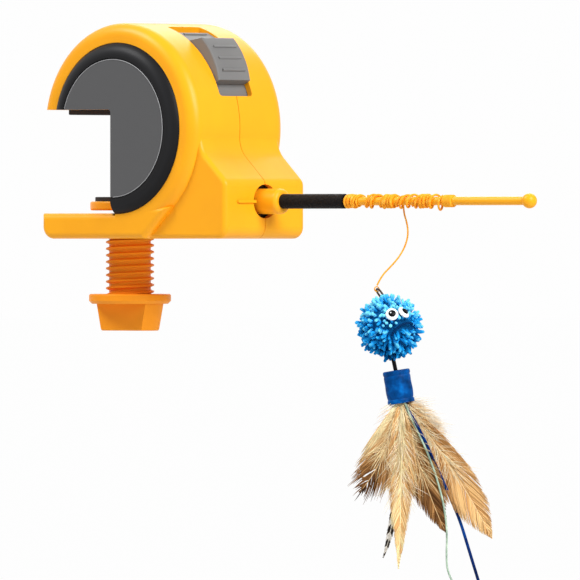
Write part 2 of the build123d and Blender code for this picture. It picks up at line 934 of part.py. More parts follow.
foot_screw_seat_z = foot_web_z + foot_web_thickness + neck_gap
with BuildPart() as foot_screw:
    with BuildSketch(Plane.XY.offset(foot_screw_seat_z)):
        Circle(foot_screw_head_radius)
    extrude(amount=foot_screw_head_height)
    with BuildSketch(Plane.XY.offset(foot_screw_seat_z)):
        Circle(foot_screw_radius)
    extrude(amount=-(foot_screw_length + foot_web_thickness))
    chamfer(foot_screw.edges().sort_by(Axis.Z)[0], foot_screw_radius / 2)
    with BuildSketch(Plane.XY.offset(foot_screw_seat_z + foot_screw_head_height)):
        Rectangle(screw_slot_share * foot_screw_head_radius, screw_slot_width)
        Rectangle(screw_slot_width, screw_slot_share * foot_screw_head_radius)
    extrude(amount=-screw_slot_depth / 2, mode=Mode.SUBTRACT)
foot_screw.part.label = "foot_screw"
export_step(foot_screw.part, "parts/foot_screw.step")

# Thumb slider with its strip under the drum wall
thumb_half = slot_width / 2 - slider_gap
fork_y = board_y + switch_depth / 2
fork_half_length = lever_length / 2 + lever_gap + rail_thickness
fork_half_depth = lever_depth / 2 + lever_gap + rail_thickness
fork_low_radius = strip_inner - fork_height
lever_top_radius = strip_inner - rail_thickness


def thumb_radius(angle):
    share = (angle - thumb_low_angle) / (thumb_high_angle - thumb_low_angle)
    return thumb_low_radius + share * (thumb_high_radius - thumb_low_radius)


def spoke_plane(angle):
    # Plane through the drum axis: local x runs outwards and local y along +Y
    turn = math.radians(angle)
    return Plane(
        origin=(drum_x, 0, drum_z),
        x_dir=(math.cos(turn), 0, math.sin(turn)),
        z_dir=(-math.sin(turn), 0, math.cos(turn)),
    )


def spoke_block(angle, low, high, half_length, y_from, y_to):
    with BuildPart() as block:
        with BuildSketch(spoke_plane(angle)):
            with Locations(((low + high) / 2, (y_from + y_to) / 2)):
                Rectangle(high - low, y_to - y_from)
        extrude(amount=half_length, both=True)
    return block.part


with BuildPart() as thumb_slider:
    with BuildSketch(side_plane(thumb_half)):
        with BuildLine():
            Line(drum_point(strip_inner, thumb_low_angle), drum_point(thumb_low_radius, thumb_low_angle))
            ThreePointArc(
                drum_point(thumb_low_radius, thumb_low_angle),
                drum_point(
                    thumb_radius((thumb_low_angle + thumb_high_angle) / 2) + ridge_radius,
                    (thumb_low_angle + thumb_high_angle) / 2,
                ),
                drum_point(thumb_high_radius, thumb_high_angle),
            )
            Polyline(
                drum_point(thumb_high_radius, thumb_high_angle),
                drum_point(plate_radius, thumb_ramp_angle),
                drum_point(strip_inner, thumb_ramp_angle),
                drum_point(strip_inner, thumb_low_angle),
            )
        make_face()
    extrude(amount=2 * thumb_half)
    fillet(
        thumb_slider.edges().filter_by(GeomType.CIRCLE)
        + thumb_slider.edges().filter_by(Axis.Y).sort_by(Axis.Z)[-1:],
        thumb_round,
    )
    add(
        sector_form(
            strip_inner, plate_radius, thumb_low_angle, plate_high_angle, -thumb_half, thumb_half
        )
    )
    add(
        sector_form(
            strip_inner, strip_outer, strip_low_angle, strip_high_angle,
            -strip_width / 2, strip_width / 2,
        )
    )
    for angle in ridge_angles:
        with BuildSketch(side_plane(ridge_width / 2)):
            with Locations(drum_point(thumb_radius(angle) + ridge_radius, angle)):
                Circle(ridge_radius)
        extrude(amount=ridge_width)
    with BuildSketch(side_plane(ridge_width / 2)):
        with Locations(drum_point(plate_radius, plate_ridge_angle)):
            Circle(ridge_radius)
    extrude(amount=ridge_width)
    add(
        spoke_block(
            switch_angle, fork_low_radius, strip_inner + strip_thickness / 2, fork_half_length,
            fork_y - fork_half_depth, fork_y + fork_half_depth,
        )
    )
    add(
        spoke_block(
            switch_angle, fork_low_radius, lever_top_radius + lever_gap, lever_length / 2 + lever_gap,
            fork_y - lever_depth / 2 - lever_gap, fork_y + lever_depth / 2 + lever_gap,
        ),
        mode=Mode.SUBTRACT,
    )
thumb_slider.part.label = "thumb_slider"
export_step(thumb_slider.part, "parts/thumb_slider.step")

# Three-position switch on the circuit board
switch_high = fork_low_radius - switch_gap
switch_low = switch_high - switch_height
switch_radius = (switch_low + switch_high) / 2
lever_swing = switch_high * math.sin(math.radians(slider_travel))
lever_foot = switch_radius + lever_gap
with BuildPart() as speed_switch:
    add(
        spoke_block(
            switch_angle, switch_low, switch_high, switch_length / 2, board_y, board_y + switch_depth
        )
    )
    add(
        spoke_block(
            switch_angle, switch_radius - 2 * lever_gap, switch_high,
            lever_swing + lever_length / 2 + lever_gap,
            fork_y - lever_depth / 2 - lever_gap, fork_y + lever_depth / 2 + lever_gap,
        ),
        mode=Mode.SUBTRACT,
    )
speed_switch.part.label = "speed_switch"
export_step(speed_switch.part, "parts/speed_switch.step")

with BuildPart() as switch_lever:
    add(
        spoke_block(
            switch_angle, lever_foot, lever_top_radius, lever_length / 2,
            fork_y - lever_depth / 2, fork_y + lever_depth / 2,
        )
    )
switch_lever.part.label = "switch_lever"
export_step(switch_lever.part, "parts/switch_lever.step")

with BuildPart() as circuit_board:
    with BuildSketch(side_plane(board_y)):
        with Locations(((board_rear_x + board_front_x) / 2, (board_bottom_z + board_top_z) / 2)):
            RectangleRounded(board_front_x - board_rear_x, board_top_z - board_bottom_z, pad_round)
        with Locations(*board_spots):
            Circle(board_screw_radius + screw_gap, mode=Mode.SUBTRACT)
    extrude(amount=board_thickness)
circuit_board.part.label = "circuit_board"
export_step(circuit_board.part, "parts/circuit_board.step")

with BuildPart() as control_chip:
    with BuildSketch(side_plane(board_y + chip_height)):
        with Locations((board_front_x - chip_front_gap, board_top_z - chip_top_gap)):
            Rectangle(chip_size, chip_size)
    extrude(amount=chip_height)
    chamfer(control_chip.faces().sort_by(Axis.Y)[-1].edges(), chip_chamfer)
control_chip.part.label = "control_chip"
export_step(control_chip.part, "parts/control_chip.step")

with BuildPart() as board_screws:
    for x, z in board_spots:
        add(
            screw_form(
                x, z, board_y, board_screw_radius, board_screw_head_radius,
                board_screw_head_height, board_screw_length, screw_slot_width, screw_slot_depth / 2,
            )
        )
board_screws.part.label = "board_screws"
export_step(board_screws.part, "parts/board_screws.step")

# Batteries in their tray
tray_back_y = cell_y - cell_radius - cell_lift - tray_wall
tray_side_y = cavity_half - tray_gap
with BuildPart() as battery_tray:
    with BuildSketch(station(tray_rear_x)):
        with Locations(((tray_back_y + tray_side_y) / 2, (tray_bottom_z + window_top_z) / 2)):
            Rectangle(tray_side_y - tray_back_y, window_top_z - tray_bottom_z)
    extrude(amount=tray_front_x - tray_rear_x)
    with BuildSketch(station(tray_rear_x + tray_wall)):
        with Locations((tray_back_y + tray_wall, tray_bottom_z + tray_wall)):
            Rectangle(tray_side_y, window_top_z, align=(Align.MIN, Align.MIN))
    extrude(amount=tray_front_x - tray_rear_x - 2 * tray_wall, mode=Mode.SUBTRACT)
battery_tray.part.label = "battery_tray"
export_step(battery_tray.part, "parts/battery_tray.step")

with BuildPart() as battery_cells:
    for y in cell_places:
        with BuildSketch(station(cell_rear_x)):
            with Locations((y, cell_z)):
                Circle(cell_radius)
        extrude(amount=cell_length)
        with BuildSketch(station(cell_rear_x + cell_length)):
            with Locations((y, cell_z)):
                Circle(nub_radius)
        extrude(amount=nub_length)
battery_cells.part.label = "battery_cells"
export_step(battery_cells.part, "parts/battery_cells.step")

with BuildPart() as battery_contacts:
    for y in cell_places:
        for x in (contact_rear_x, contact_front_x):
            with BuildSketch(station(x)):
                with Locations((y, cell_z)):
                    RectangleRounded(contact_width, contact_width, pad_round)
            extrude(amount=contact_thickness)
        with BuildSketch(station(contact_rear_x + contact_thickness)):
            with Locations((y, cell_z)):
                Circle(contact_dome_radius)
        extrude(amount=contact_dome_height, taper=contact_dome_taper)
battery_contacts.part.label = "battery_contacts"
export_step(battery_contacts.part, "parts/battery_contacts.step")


def flank_angle(radius, module, teeth):
    # Half of a tooth's angle at a radius, with involute flanks
    pitch_radius = module * teeth / 2
    pressure = math.radians(tooth_pressure_angle)
    base_radius = pitch_radius * math.cos(pressure)
    half = math.pi / (2 * teeth) - tooth_backlash / (2 * pitch_radius)
    half += math.tan(pressure) - pressure
    if radius <= base_radius:
        return half
    turn = math.acos(base_radius / radius)
    return half - (math.tan(turn) - turn)


def gear_form(x, z, width, module, teeth, bore, phase):
    # Spur gear about an axis along X, with a tooth or a gap straight above it
    pitch_radius = module * teeth / 2
    radii = (
        pitch_radius - tooth_dedendum * module,
        pitch_radius,
        pitch_radius + tooth_addendum * module,
    )
    spread = [flank_angle(radius, module, teeth) for radius in radii]

    def at(radius, angle):
        return (radius * math.cos(angle), z + radius * math.sin(angle))

    with BuildPart() as gear:
        with BuildSketch(station(x)):
            with BuildLine():
                for tooth in range(teeth):
                    centre = math.pi / 2 + (tooth + phase) * 2 * math.pi / teeth
                    following = centre + 2 * math.pi / teeth
                    ThreePointArc(*[at(r, centre - a) for r, a in zip(radii, spread)])
                    Line(at(radii[2], centre - spread[2]), at(radii[2], centre + spread[2]))
                    ThreePointArc(*[at(r, centre + a) for r, a in zip(radii[::-1], spread[::-1])])
                    Line(at(radii[0], centre + spread[0]), at(radii[0], following - spread[0]))
            make_face()
            with Locations((0, z)):
                Circle(bore, mode=Mode.SUBTRACT)
        extrude(amount=width)
    return gear.part


def shaft_form(x_from, x_to, z, radius, bore=0):
    with BuildPart() as shaft:
        with BuildSketch(station(x_from)):
            with Locations((0, z)):
                Circle(radius)
                if bore > 0:
                    Circle(bore, mode=Mode.SUBTRACT)
        extrude(amount=x_to - x_from)
    return shaft.part


# Motor
def motor_outline(radius):
    with Locations((0, motor_z)):
        Circle(radius)
        Rectangle(2 * motor_flat, 2 * radius, mode=Mode.INTERSECT)


motor_can_x = motor_rear_x + motor_cap_length
motor_shaft_end = wheel_x + wheel_width + stage_gap / 2
with BuildPart() as motor_can:
    with BuildSketch(station(motor_can_x)):
        motor_outline(motor_radius)
    extrude(amount=motor_front_x - motor_can_x)
    fillet(motor_can.faces().sort_by(Axis.X)[-1].edges(), pad_round / 2)
    add(shaft_form(motor_front_x, motor_front_x + motor_boss_length, motor_z, motor_boss_radius))
    add(
        shaft_form(
            motor_can_x, motor_front_x + motor_boss_length, motor_z, motor_shaft_radius + running_gap
        ),
        mode=Mode.SUBTRACT,
    )
    for side in (-1, 1):
        with BuildSketch(station(motor_front_x)):
            with Locations((side * motor_screw_offset, motor_z)):
                Circle(motor_screw_radius + press_gap)
        extrude(amount=-3 * plate_thickness, mode=Mode.SUBTRACT)
motor_can.part.label = "motor_can"
export_step(motor_can.part, "parts/motor_can.step")

with BuildPart() as motor_end_cap:
    with BuildSketch(station(motor_rear_x)):
        motor_outline(motor_radius - pad_round / 4)
    extrude(amount=motor_cap_length)
    with BuildSketch(station(motor_rear_x)):
        with GridLocations(motor_flat, 0, 2, 1):
            with Locations((0, motor_z)):
                Rectangle(contact_thickness, 2 * motor_cap_length)
    extrude(amount=-motor_cap_length)
motor_end_cap.part.label = "motor_end_cap"
export_step(motor_end_cap.part, "parts/motor_end_cap.step")

with BuildPart() as motor_shaft:
    add(shaft_form(motor_can_x, motor_shaft_end, motor_z, motor_shaft_radius))
motor_shaft.part.label = "motor_shaft"
export_step(motor_shaft.part, "parts/motor_shaft.step")

with BuildPart() as motor_pinion:
    add(
        gear_form(
            wheel_x - stage_gap / 4, motor_z, wheel_width + stage_gap / 2, fine_module, motor_teeth,
            motor_shaft_radius + press_gap, 0,
        )
    )
motor_pinion.part.label = "motor_pinion"
export_step(motor_pinion.part, "parts/motor_pinion.step")

with BuildPart() as idler_gear:
    add(gear_form(wheel_x, idler_z, wheel_width, fine_module, wheel_teeth, axle_radius + running_gap, 0.5))
    add(
        gear_form(
            wheel_x + wheel_width, idler_z, stage_gap + output_width, coarse_module, pinion_teeth,
            axle_radius + running_gap, 0,
        )
    )
idler_gear.part.label = "idler_gear"
export_step(idler_gear.part, "parts/idler_gear.step")

with BuildPart() as output_gear:
    add(gear_form(output_x, wand_z, output_width, coarse_module, output_teeth, shaft_radius + press_gap, 0.5))
output_gear.part.label = "output_gear"
export_step(output_gear.part, "parts/output_gear.step")

# Plates that carry the gear train
post_spots = [(side * post_y, z) for side in (-1, 1) for z in (post_low_z, post_high_z)]


def gear_plate_form(x, top_z, with_motor):
    with BuildPart() as plate:
        with BuildSketch(station(x)):
            with Locations((0, (gear_plate_bottom_z + top_z) / 2)):
                RectangleRounded(2 * plate_half_width, top_z - gear_plate_bottom_z, gear_plate_round)
            with Locations((0, wand_z)):
                Circle(bush_radius + press_gap, mode=Mode.SUBTRACT)
            with Locations((0, idler_z)):
                Circle(axle_radius + press_gap, mode=Mode.SUBTRACT)
            with Locations(*post_spots):
                Circle(post_radius / 2 + press_gap, mode=Mode.SUBTRACT)
            if with_motor:
                with Locations((0, motor_z)):
                    Circle(motor_boss_radius + press_gap, mode=Mode.SUBTRACT)
                with Locations((-motor_screw_offset, motor_z), (motor_screw_offset, motor_z)):
                    Circle(motor_screw_radius + screw_gap, mode=Mode.SUBTRACT)
        extrude(amount=plate_thickness)
    return plate.part


with BuildPart() as rear_gear_plate:
    add(gear_plate_form(rear_plate_x, rear_plate_top_z, True))
rear_gear_plate.part.label = "rear_gear_plate"
export_step(rear_gear_plate.part, "parts/rear_gear_plate.step")

with BuildPart() as front_gear_plate:
    add(gear_plate_form(front_plate_x, front_plate_top_z, False))
front_gear_plate.part.label = "front_gear_plate"
export_step(front_gear_plate.part, "parts/front_gear_plate.step")

with BuildPart() as gear_posts:
    for y, z in post_spots:
        with BuildSketch(station(rear_plate_x + plate_thickness)):
            with Locations((y, z)):
                Circle(post_radius)
        extrude(amount=front_plate_x - rear_plate_x - plate_thickness)
        with BuildSketch(station(rear_plate_x)):
            with Locations((y, z)):
                Circle(post_radius / 2)
        extrude(amount=front_plate_x + plate_thickness - rear_plate_x)
gear_posts.part.label = "gear_posts"
export_step(gear_posts.part, "parts/gear_posts.step")

with BuildPart() as motor_screws:
    for side in (-1, 1):
        with BuildSketch(station(rear_plate_x + plate_thickness)):
            with Locations((side * motor_screw_offset, motor_z)):
                Circle(motor_screw_head_radius)
        extrude(amount=motor_screw_head_height)
        with BuildSketch(station(rear_plate_x + plate_thickness)):
            with Locations((side * motor_screw_offset, motor_z)):
                Circle(motor_screw_radius)
        extrude(amount=-3 * plate_thickness)
motor_screws.part.label = "motor_screws"
export_step(motor_screws.part, "parts/motor_screws.step")

with BuildPart() as idler_axle:
    add(shaft_form(rear_plate_x, front_plate_x + plate_thickness, idler_z, axle_radius))
idler_axle.part.label = "idler_axle"
export_step(idler_axle.part, "parts/idler_axle.step")

with BuildPart() as shaft_bushes:
    bush_bore = shaft_radius + running_gap
    rear_flange_x = rear_plate_x + plate_thickness
    add(shaft_form(rear_plate_x, rear_flange_x, wand_z, bush_radius, bush_bore))
    add(shaft_form(rear_flange_x, rear_flange_x + bush_flange, wand_z, bush_flange_radius, bush_bore))
    add(shaft_form(front_plate_x, front_plate_x + plate_thickness, wand_z, bush_radius, bush_bore))
    add(shaft_form(front_plate_x - bush_flange, front_plate_x, wand_z, bush_flange_radius, bush_bore))
shaft_bushes.part.label = "shaft_bushes"
export_step(shaft_bushes.part, "parts/shaft_bushes.step")

with BuildPart() as output_shaft:
    add(
        shaft_form(
            rear_plate_x - stage_gap, socket_rear_x + shaft_grip_depth - press_gap, wand_z, shaft_radius
        )
    )
output_shaft.part.label = "output_shaft"
export_step(output_shaft.part, "parts/output_shaft.step")

# Wand
flange_front_x = foot_front_x - wall - socket_flange_gap
grip_start_x = socket_end_x - socket_grip_depth
with BuildPart() as wand_socket:
    add(shaft_form(socket_rear_x, socket_end_x, wand_z, socket_radius))
    fillet(wand_socket.edges().sort_by(Axis.X)[-1], socket_round)
    add(shaft_form(flange_front_x - socket_flange, flange_front_x, wand_z, socket_flange_radius))
    add(
        shaft_form(socket_rear_x, socket_rear_x + shaft_grip_depth, wand_z, shaft_radius + press_gap),
        mode=Mode.SUBTRACT,
    )
    add(
        shaft_form(grip_start_x, socket_end_x, wand_z, sleeve_radius + press_gap), mode=Mode.SUBTRACT
    )
wand_socket.part.label = "wand_socket"
export_step(wand_socket.part, "parts/wand_socket.step")

with BuildPart() as wand_grip:
    add(shaft_form(grip_start_x + press_gap, sleeve_end_x, wand_z, sleeve_radius))
    fillet(wand_grip.edges().sort_by(Axis.X)[-1], collar_round)
    add(shaft_form(grip_start_x, sleeve_end_x, wand_z, rod_radius + press_gap), mode=Mode.SUBTRACT)
wand_grip.part.label = "wand_grip"
export_step(wand_grip.part, "parts/wand_grip.step")

with BuildPart() as wand_rod:
    add(shaft_form(sleeve_end_x - rod_grip_depth, tip_x, wand_z, rod_radius))
wand_rod.part.label = "wand_rod"
export_step(wand_rod.part, "parts/wand_rod.step")

with BuildPart() as wand_tip:
    with BuildSketch(Plane((tip_x, 0, wand_z))):
        Circle(tip_radius)
        with Locations((0, -tip_radius)):
            Rectangle(2 * tip_radius, 2 * tip_radius, mode=Mode.SUBTRACT)
    revolve(axis=Axis((tip_x, 0, wand_z), (1, 0, 0)))
    add(
        shaft_form(tip_x - tip_radius, tip_x + press_gap, wand_z, rod_radius + press_gap),
        mode=Mode.SUBTRACT,
    )
wand_tip.part.label = "wand_tip"
export_step(wand_tip.part, "parts/wand_tip.step")

with BuildPart() as string_collar:
    add(shaft_form(collar_x - collar_width / 2, collar_x + collar_width / 2, wand_z, collar_radius))
    fillet(string_collar.edges(), collar_round)
    add(
        shaft_form(collar_x - collar_width, collar_x + collar_width, wand_z, rod_radius + press_gap),
        mode=Mode.SUBTRACT,
    )
string_collar.part.label = "string_collar"
export_step(string_collar.part, "parts/string_collar.step")


# String wound on the rod: tight clusters joined by long strides
def wound_x(turns):
    lap = cluster_turns + stride_turns
    cluster = min(int(turns // lap), cluster_count - 1)
    rest = turns - cluster * lap
    x = wind_start_x + cluster * (cluster_turns * cluster_pitch + stride_length)
    x += min(rest, cluster_turns) * cluster_pitch
    return x + max(rest - cluster_turns, 0) * stride_length / stride_turns


def wound_point(turns):
    angle = 2 * math.pi * turns
    return Vector(
        wound_x(turns),
        wind_radius * math.sin(angle),
        wand_z + wind_radius * math.cos(angle),
    )


def wound_tangent(turns):
    angle = 2 * math.pi * turns
    before = max(turns - tangent_step, 0)
    after = turns + tangent_step
    rise = (wound_x(after) - wound_x(before)) / (after - before)
    reach = 2 * math.pi * wind_radius
    return Vector(rise, reach * math.cos(angle), -reach * math.sin(angle)).normalized()


def biarc_joint(start, start_tangent, end, end_tangent):
    # Point where two arcs meet that leave and arrive along the tangents
    chord = end - start
    a = 2 * (1 - start_tangent.dot(end_tangent))
    b = 2 * chord.dot(start_tangent + end_tangent)
    c = -chord.dot(chord)
    if abs(a) < 1e-9:
        d = -c / b
    else:
        d = (-b + math.sqrt(b * b - 4 * a * c)) / (2 * a)
    return (start + start_tangent * d + end - end_tangent * d) * 0.5


def least_self_gap(line, radius, spacing):
    # Least gap between parts of a tube that are not neighbours along it
    count = int(line.length / spacing)
    points = [line.position_at(i / count) for i in range(count + 1)]
    skip = int(math.pi * radius * skipped_turn / spacing)
    gap = math.inf
    for i, point in enumerate(points):
        for other in points[i + skip:]:
            if abs(other.X - point.X) < near_reach * radius:
                gap = min(gap, (other - point).length - 2 * radius)
    return gap


wound_turns = cluster_count * cluster_turns + (cluster_count - 1) * stride_turns
wound_steps = [step / arcs_per_turn for step in range(int(arcs_per_turn * wound_turns) + 1)]
with BuildPart() as string_winding:
    with BuildLine() as wound_line:
        first = wound_point(0)
        Line(first - wound_tangent(0) * (2 * string_radius), first)
        for low, high in zip(wound_steps, wound_steps[1:]):
            joint = biarc_joint(
                wound_point(low), wound_tangent(low), wound_point(high), wound_tangent(high)
            )
            first_arc = TangentArc(wound_point(low), joint, tangent=wound_tangent(low))
            TangentArc(joint, wound_point(high), tangent=first_arc % 1)
        last = wound_point(wound_turns)
        Line(last, last + wound_tangent(wound_turns) * (2 * string_radius))
    wound_path = wound_line.wires()[0]
    with BuildSketch(Plane(origin=wound_path @ 0, z_dir=wound_path % 0)):
        Circle(string_radius)
    sweep(path=wound_path)
string_winding.part.label = "string_winding"
export_step(string_winding.part, "parts/string_winding.step")
print("winding turns", wound_turns, "length", round(wound_path.length, 1))
print("winding least self gap", round(least_self_gap(wound_path, string_radius, gap_spacing), 2))
wound_volume = math.pi * string_radius**2 * wound_path.length
print("winding volume share", round(string_winding.part.volume / wound_volume, 3))

# Toy that hangs on the string, drawn in a plane that faces the front left
turn = math.radians(view_angle)
toy_plane = Plane(
    origin=(string_x, wind_radius, wand_z),
    x_dir=(math.cos(turn), math.sin(turn), 0),
    z_dir=(math.sin(turn), -math.cos(turn), 0),
)


def toy_point(u, v, w=0):
    return toy_plane.from_local_coords(Vector(u, v, w))


def toy_direction(u, v, w):
    return toy_point(u, v, w) - toy_plane.origin


def bend_radii(route):
    # Largest arc that each corner of a cord's route leaves room for
    radii = []
    for before, corner, after in zip(route, route[1:], route[2:]):
        first = Vector(*corner) - Vector(*before)
        second = Vector(*after) - Vector(*corner)
        half_turn = math.radians(first.get_angle(second)) / 2
        radii.append(bend_share * min(first.length, second.length) / math.tan(half_turn))
    return radii


def cord_form(name, route, layer, half_width, half_depth):
    # Round or flat cord along a route in the toy's plane
    radii = bend_radii(route)
    with BuildPart() as cord:
        with BuildLine(toy_plane.offset(layer)) as line:
            FilletPolyline(*route, radius=radii)
        path = line.wires()[0]
        with BuildSketch(Plane(origin=path @ 0, x_dir=toy_plane.z_dir, z_dir=path % 0)):
            if half_width == half_depth:
                Circle(half_width)
            else:
                Rectangle(2 * half_depth, 2 * half_width)
        sweep(path=path)
    section = math.pi * half_width**2 if half_width == half_depth else 4 * half_width * half_depth
    print(name, "length", round(path.length, 1), "radii", [round(radius, 1) for radius in radii])
    print(name, "volume share", round(cord.part.volume / (section * path.length), 3))
    return cord.part


with BuildPart() as string_drop:
    add(cord_form("string_drop", drop_route, 0, string_radius, string_radius))
string_drop.part.label = "string_drop"
export_step(string_drop.part, "parts/string_drop.step")

# Wire eyelet on the toy and the string's loop round it
lean = Vector(*ring_lean).normalized()
across = Vector(-lean.Y * ring_turn[0], lean.X * ring_turn[0], ring_turn[1])
ring_axis = toy_direction(across.X, across.Y, across.Z).normalized()
ring_up = toy_direction(lean.X, lean.Y, 0).normalized()
ring_top = toy_point(ring_u, ring_v)
ring_plane = Plane(origin=ring_top, x_dir=ring_axis, z_dir=ring_axis.cross(ring_up))
with BuildPart() as string_knot:
    with BuildLine(Plane(origin=ring_top, x_dir=ring_up, z_dir=ring_axis)) as knot_line:
        CenterArc((0, 0), knot_radius, 0, 360)
    with BuildSketch(Plane(origin=ring_top + ring_up * knot_radius, z_dir=knot_line.edges()[0] % 0)):
        Circle(string_radius)
    sweep(path=knot_line.wires()[0])
string_knot.part.label = "string_knot"
export_step(string_knot.part, "parts/string_knot.step")

with BuildPart() as toy_ring:
    side_run = ring_length - ring_width
    with BuildLine(ring_plane) as ring_line:
        CenterArc((0, -ring_width / 2), ring_width / 2, 0, 180)
        Line((-ring_width / 2, -ring_width / 2), (-ring_width / 2, -ring_width / 2 - side_run))
        CenterArc((0, -ring_width / 2 - side_run), ring_width / 2, 180, 180)
        Line((ring_width / 2, -ring_width / 2 - side_run), (ring_width / 2, -ring_width / 2))
    ring_path = ring_line.wires()[0]
    with BuildSketch(Plane(origin=ring_path @ 0, z_dir=ring_path % 0)):
        Circle(ring_wire_radius)
    sweep(path=ring_path)
toy_ring.part.label = "toy_ring"
export_step(toy_ring.part, "parts/toy_ring.step")


def facing_plane(facing, distance):
    # Plane on the ball that faces outwards, a distance from its centre
    u, v = facing
    w = math.sqrt(1 - u * u - v * v)
    outward = toy_direction(u, v, w)
    return Plane(origin=toy_point(ball_u, ball_v) + outward * distance, z_dir=outward)


eye_seat = math.sqrt(ball_radius**2 - eye_radius**2) - eye_sunk
with BuildPart() as toy_eyes:
    for facing in eye_facing:
        with BuildSketch(facing_plane(facing, eye_seat)):
            Circle(eye_radius)
        extrude(amount=eye_height)
        ahead = facing_plane(facing, 2 * ball_radius).origin
        fillet(toy_eyes.faces().sort_by_distance(ahead)[0].edges(), eye_round)
toy_eyes.part.label = "toy_eyes"
export_step(toy_eyes.part, "parts/toy_eyes.step")

with BuildPart() as toy_pupils:
    for facing in eye_facing:
        with BuildSketch(facing_plane(facing, eye_seat + eye_height)):
            Circle(pupil_radius)
        extrude(amount=pupil_height)
toy_pupils.part.label = "toy_pupils"
export_step(toy_pupils.part, "parts/toy_pupils.step")

with BuildPart() as toy_ball:
    with BuildSketch(Plane(origin=toy_point(ball_u, ball_v), x_dir=-toy_plane.z_dir, z_dir=toy_plane.x_dir)):
        Circle(ball_radius)
        Rectangle(2 * ball_radius, 2 * ball_radius, align=(Align.MAX, Align.CENTER), mode=Mode.SUBTRACT)
    revolve(axis=Axis(toy_point(ball_u, ball_v), Vector(0, 0, 1)))
    with BuildLine() as crease:
        mouth = [
            toy_point(ball_u, ball_v) + toy_direction(u, v, math.sqrt(ball_radius**2 - u * u - v * v))
            for u, v in mouth_route
        ]
        ThreePointArc(*mouth)
    with BuildSketch(Plane(origin=crease.edges()[0] @ 0, z_dir=crease.edges()[0] % 0)):
        Circle(mouth_depth)
    sweep(path=crease.wires()[0], mode=Mode.SUBTRACT)
    add(toy_eyes.part, mode=Mode.SUBTRACT)
    add(toy_ring.part, mode=Mode.SUBTRACT)
toy_ball.part.label = "toy_ball"
export_step(toy_ball.part, "parts/toy_ball.step")

# Link, fabric sleeve and feathers below the ball
ball_low_v = ball_v - math.sqrt(ball_radius**2 - (link_u - ball_u) ** 2)
link_top = (link_u, ball_low_v - link_gap - link_radius)
sleeve_axis = Vector(sleeve_bottom[0] - sleeve_top[0], sleeve_bottom[1] - sleeve_top[1])
sleeve_length = sleeve_axis.length
sleeve_down = toy_direction(sleeve_axis.X, sleeve_axis.Y, 0).normalized()
sleeve_across = toy_plane.z_dir.cross(sleeve_down)
link_end = (
    sleeve_top[0] + sleeve_axis.X * link_share,
    sleeve_top[1] + sleeve_axis.Y * link_share,
)


def sleeve_plane(depth):
    return Plane(
        origin=toy_point(*sleeve_top) + sleeve_down * depth, x_dir=sleeve_across, z_dir=sleeve_down
    )


def link_form(radius):
    start = toy_point(*link_top)
    end = toy_point(*link_end)
    with BuildPart() as link:
        with BuildSketch(Plane(origin=start, z_dir=end - start)):
            Circle(radius)
        extrude(amount=(end - start).length)
        with Locations(start):
            Sphere(radius)
    return link.part


with BuildPart() as toy_link:
    add(link_form(link_radius))
toy_link.part.label = "toy_link"
export_step(toy_link.part, "parts/toy_link.step")

with BuildPart() as toy_sleeve:
    with BuildSketch(sleeve_plane(0)):
        Ellipse(sleeve_half_width, sleeve_half_depth)
    extrude(amount=sleeve_length)
    for depth in (0, sleeve_length - hem_height):
        with BuildSketch(sleeve_plane(depth)):
            Ellipse(sleeve_half_width + hem_proud, sleeve_half_depth + hem_proud)
        extrude(amount=hem_height)
    with BuildSketch(sleeve_plane(sleeve_length)):
        Ellipse(sleeve_half_width - sleeve_wall, sleeve_half_depth - sleeve_wall)
    extrude(amount=sleeve_wall - sleeve_length, mode=Mode.SUBTRACT)
    add(link_form(link_radius + press_gap), mode=Mode.SUBTRACT)
toy_sleeve.part.label = "toy_sleeve"
export_step(toy_sleeve.part, "parts/toy_sleeve.step")

for name, (left, tip, right, layer) in feathers.items():
    with BuildPart() as feather:
        with BuildSketch(toy_plane.offset(layer * feather_layer - feather_thickness / 2)):
            with BuildLine():
                ThreePointArc(feather_root, left, tip)
                ThreePointArc(tip, right, feather_root)
            make_face()
        extrude(amount=feather_thickness)
    feather.part.label = name
    export_step(feather.part, f"parts/{name}.step")

with BuildPart() as tail_string:
    add(cord_form("tail_string", tail_route, tail_layer, tail_radius, tail_radius))
tail_string.part.label = "tail_string"
export_step(tail_string.part, "parts/tail_string.step")

with BuildPart() as tail_ribbon:
    add(cord_form("tail_ribbon", ribbon_route, ribbon_layer, ribbon_width / 2, ribbon_thickness / 2))
tail_ribbon.part.label = "tail_ribbon"
export_step(tail_ribbon.part, "parts/tail_ribbon.step")

print("toy ring pivot", ring_top, "axis", ring_axis)
print("link pivot", toy_point(*link_top), "view axis", toy_plane.z_dir)
print("gear axes", motor_z, idler_z, wand_z, "winding radius", wind_radius)
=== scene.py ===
import json
import math
import random

import bmesh
import bpy
from mathutils import Matrix, Vector, noise


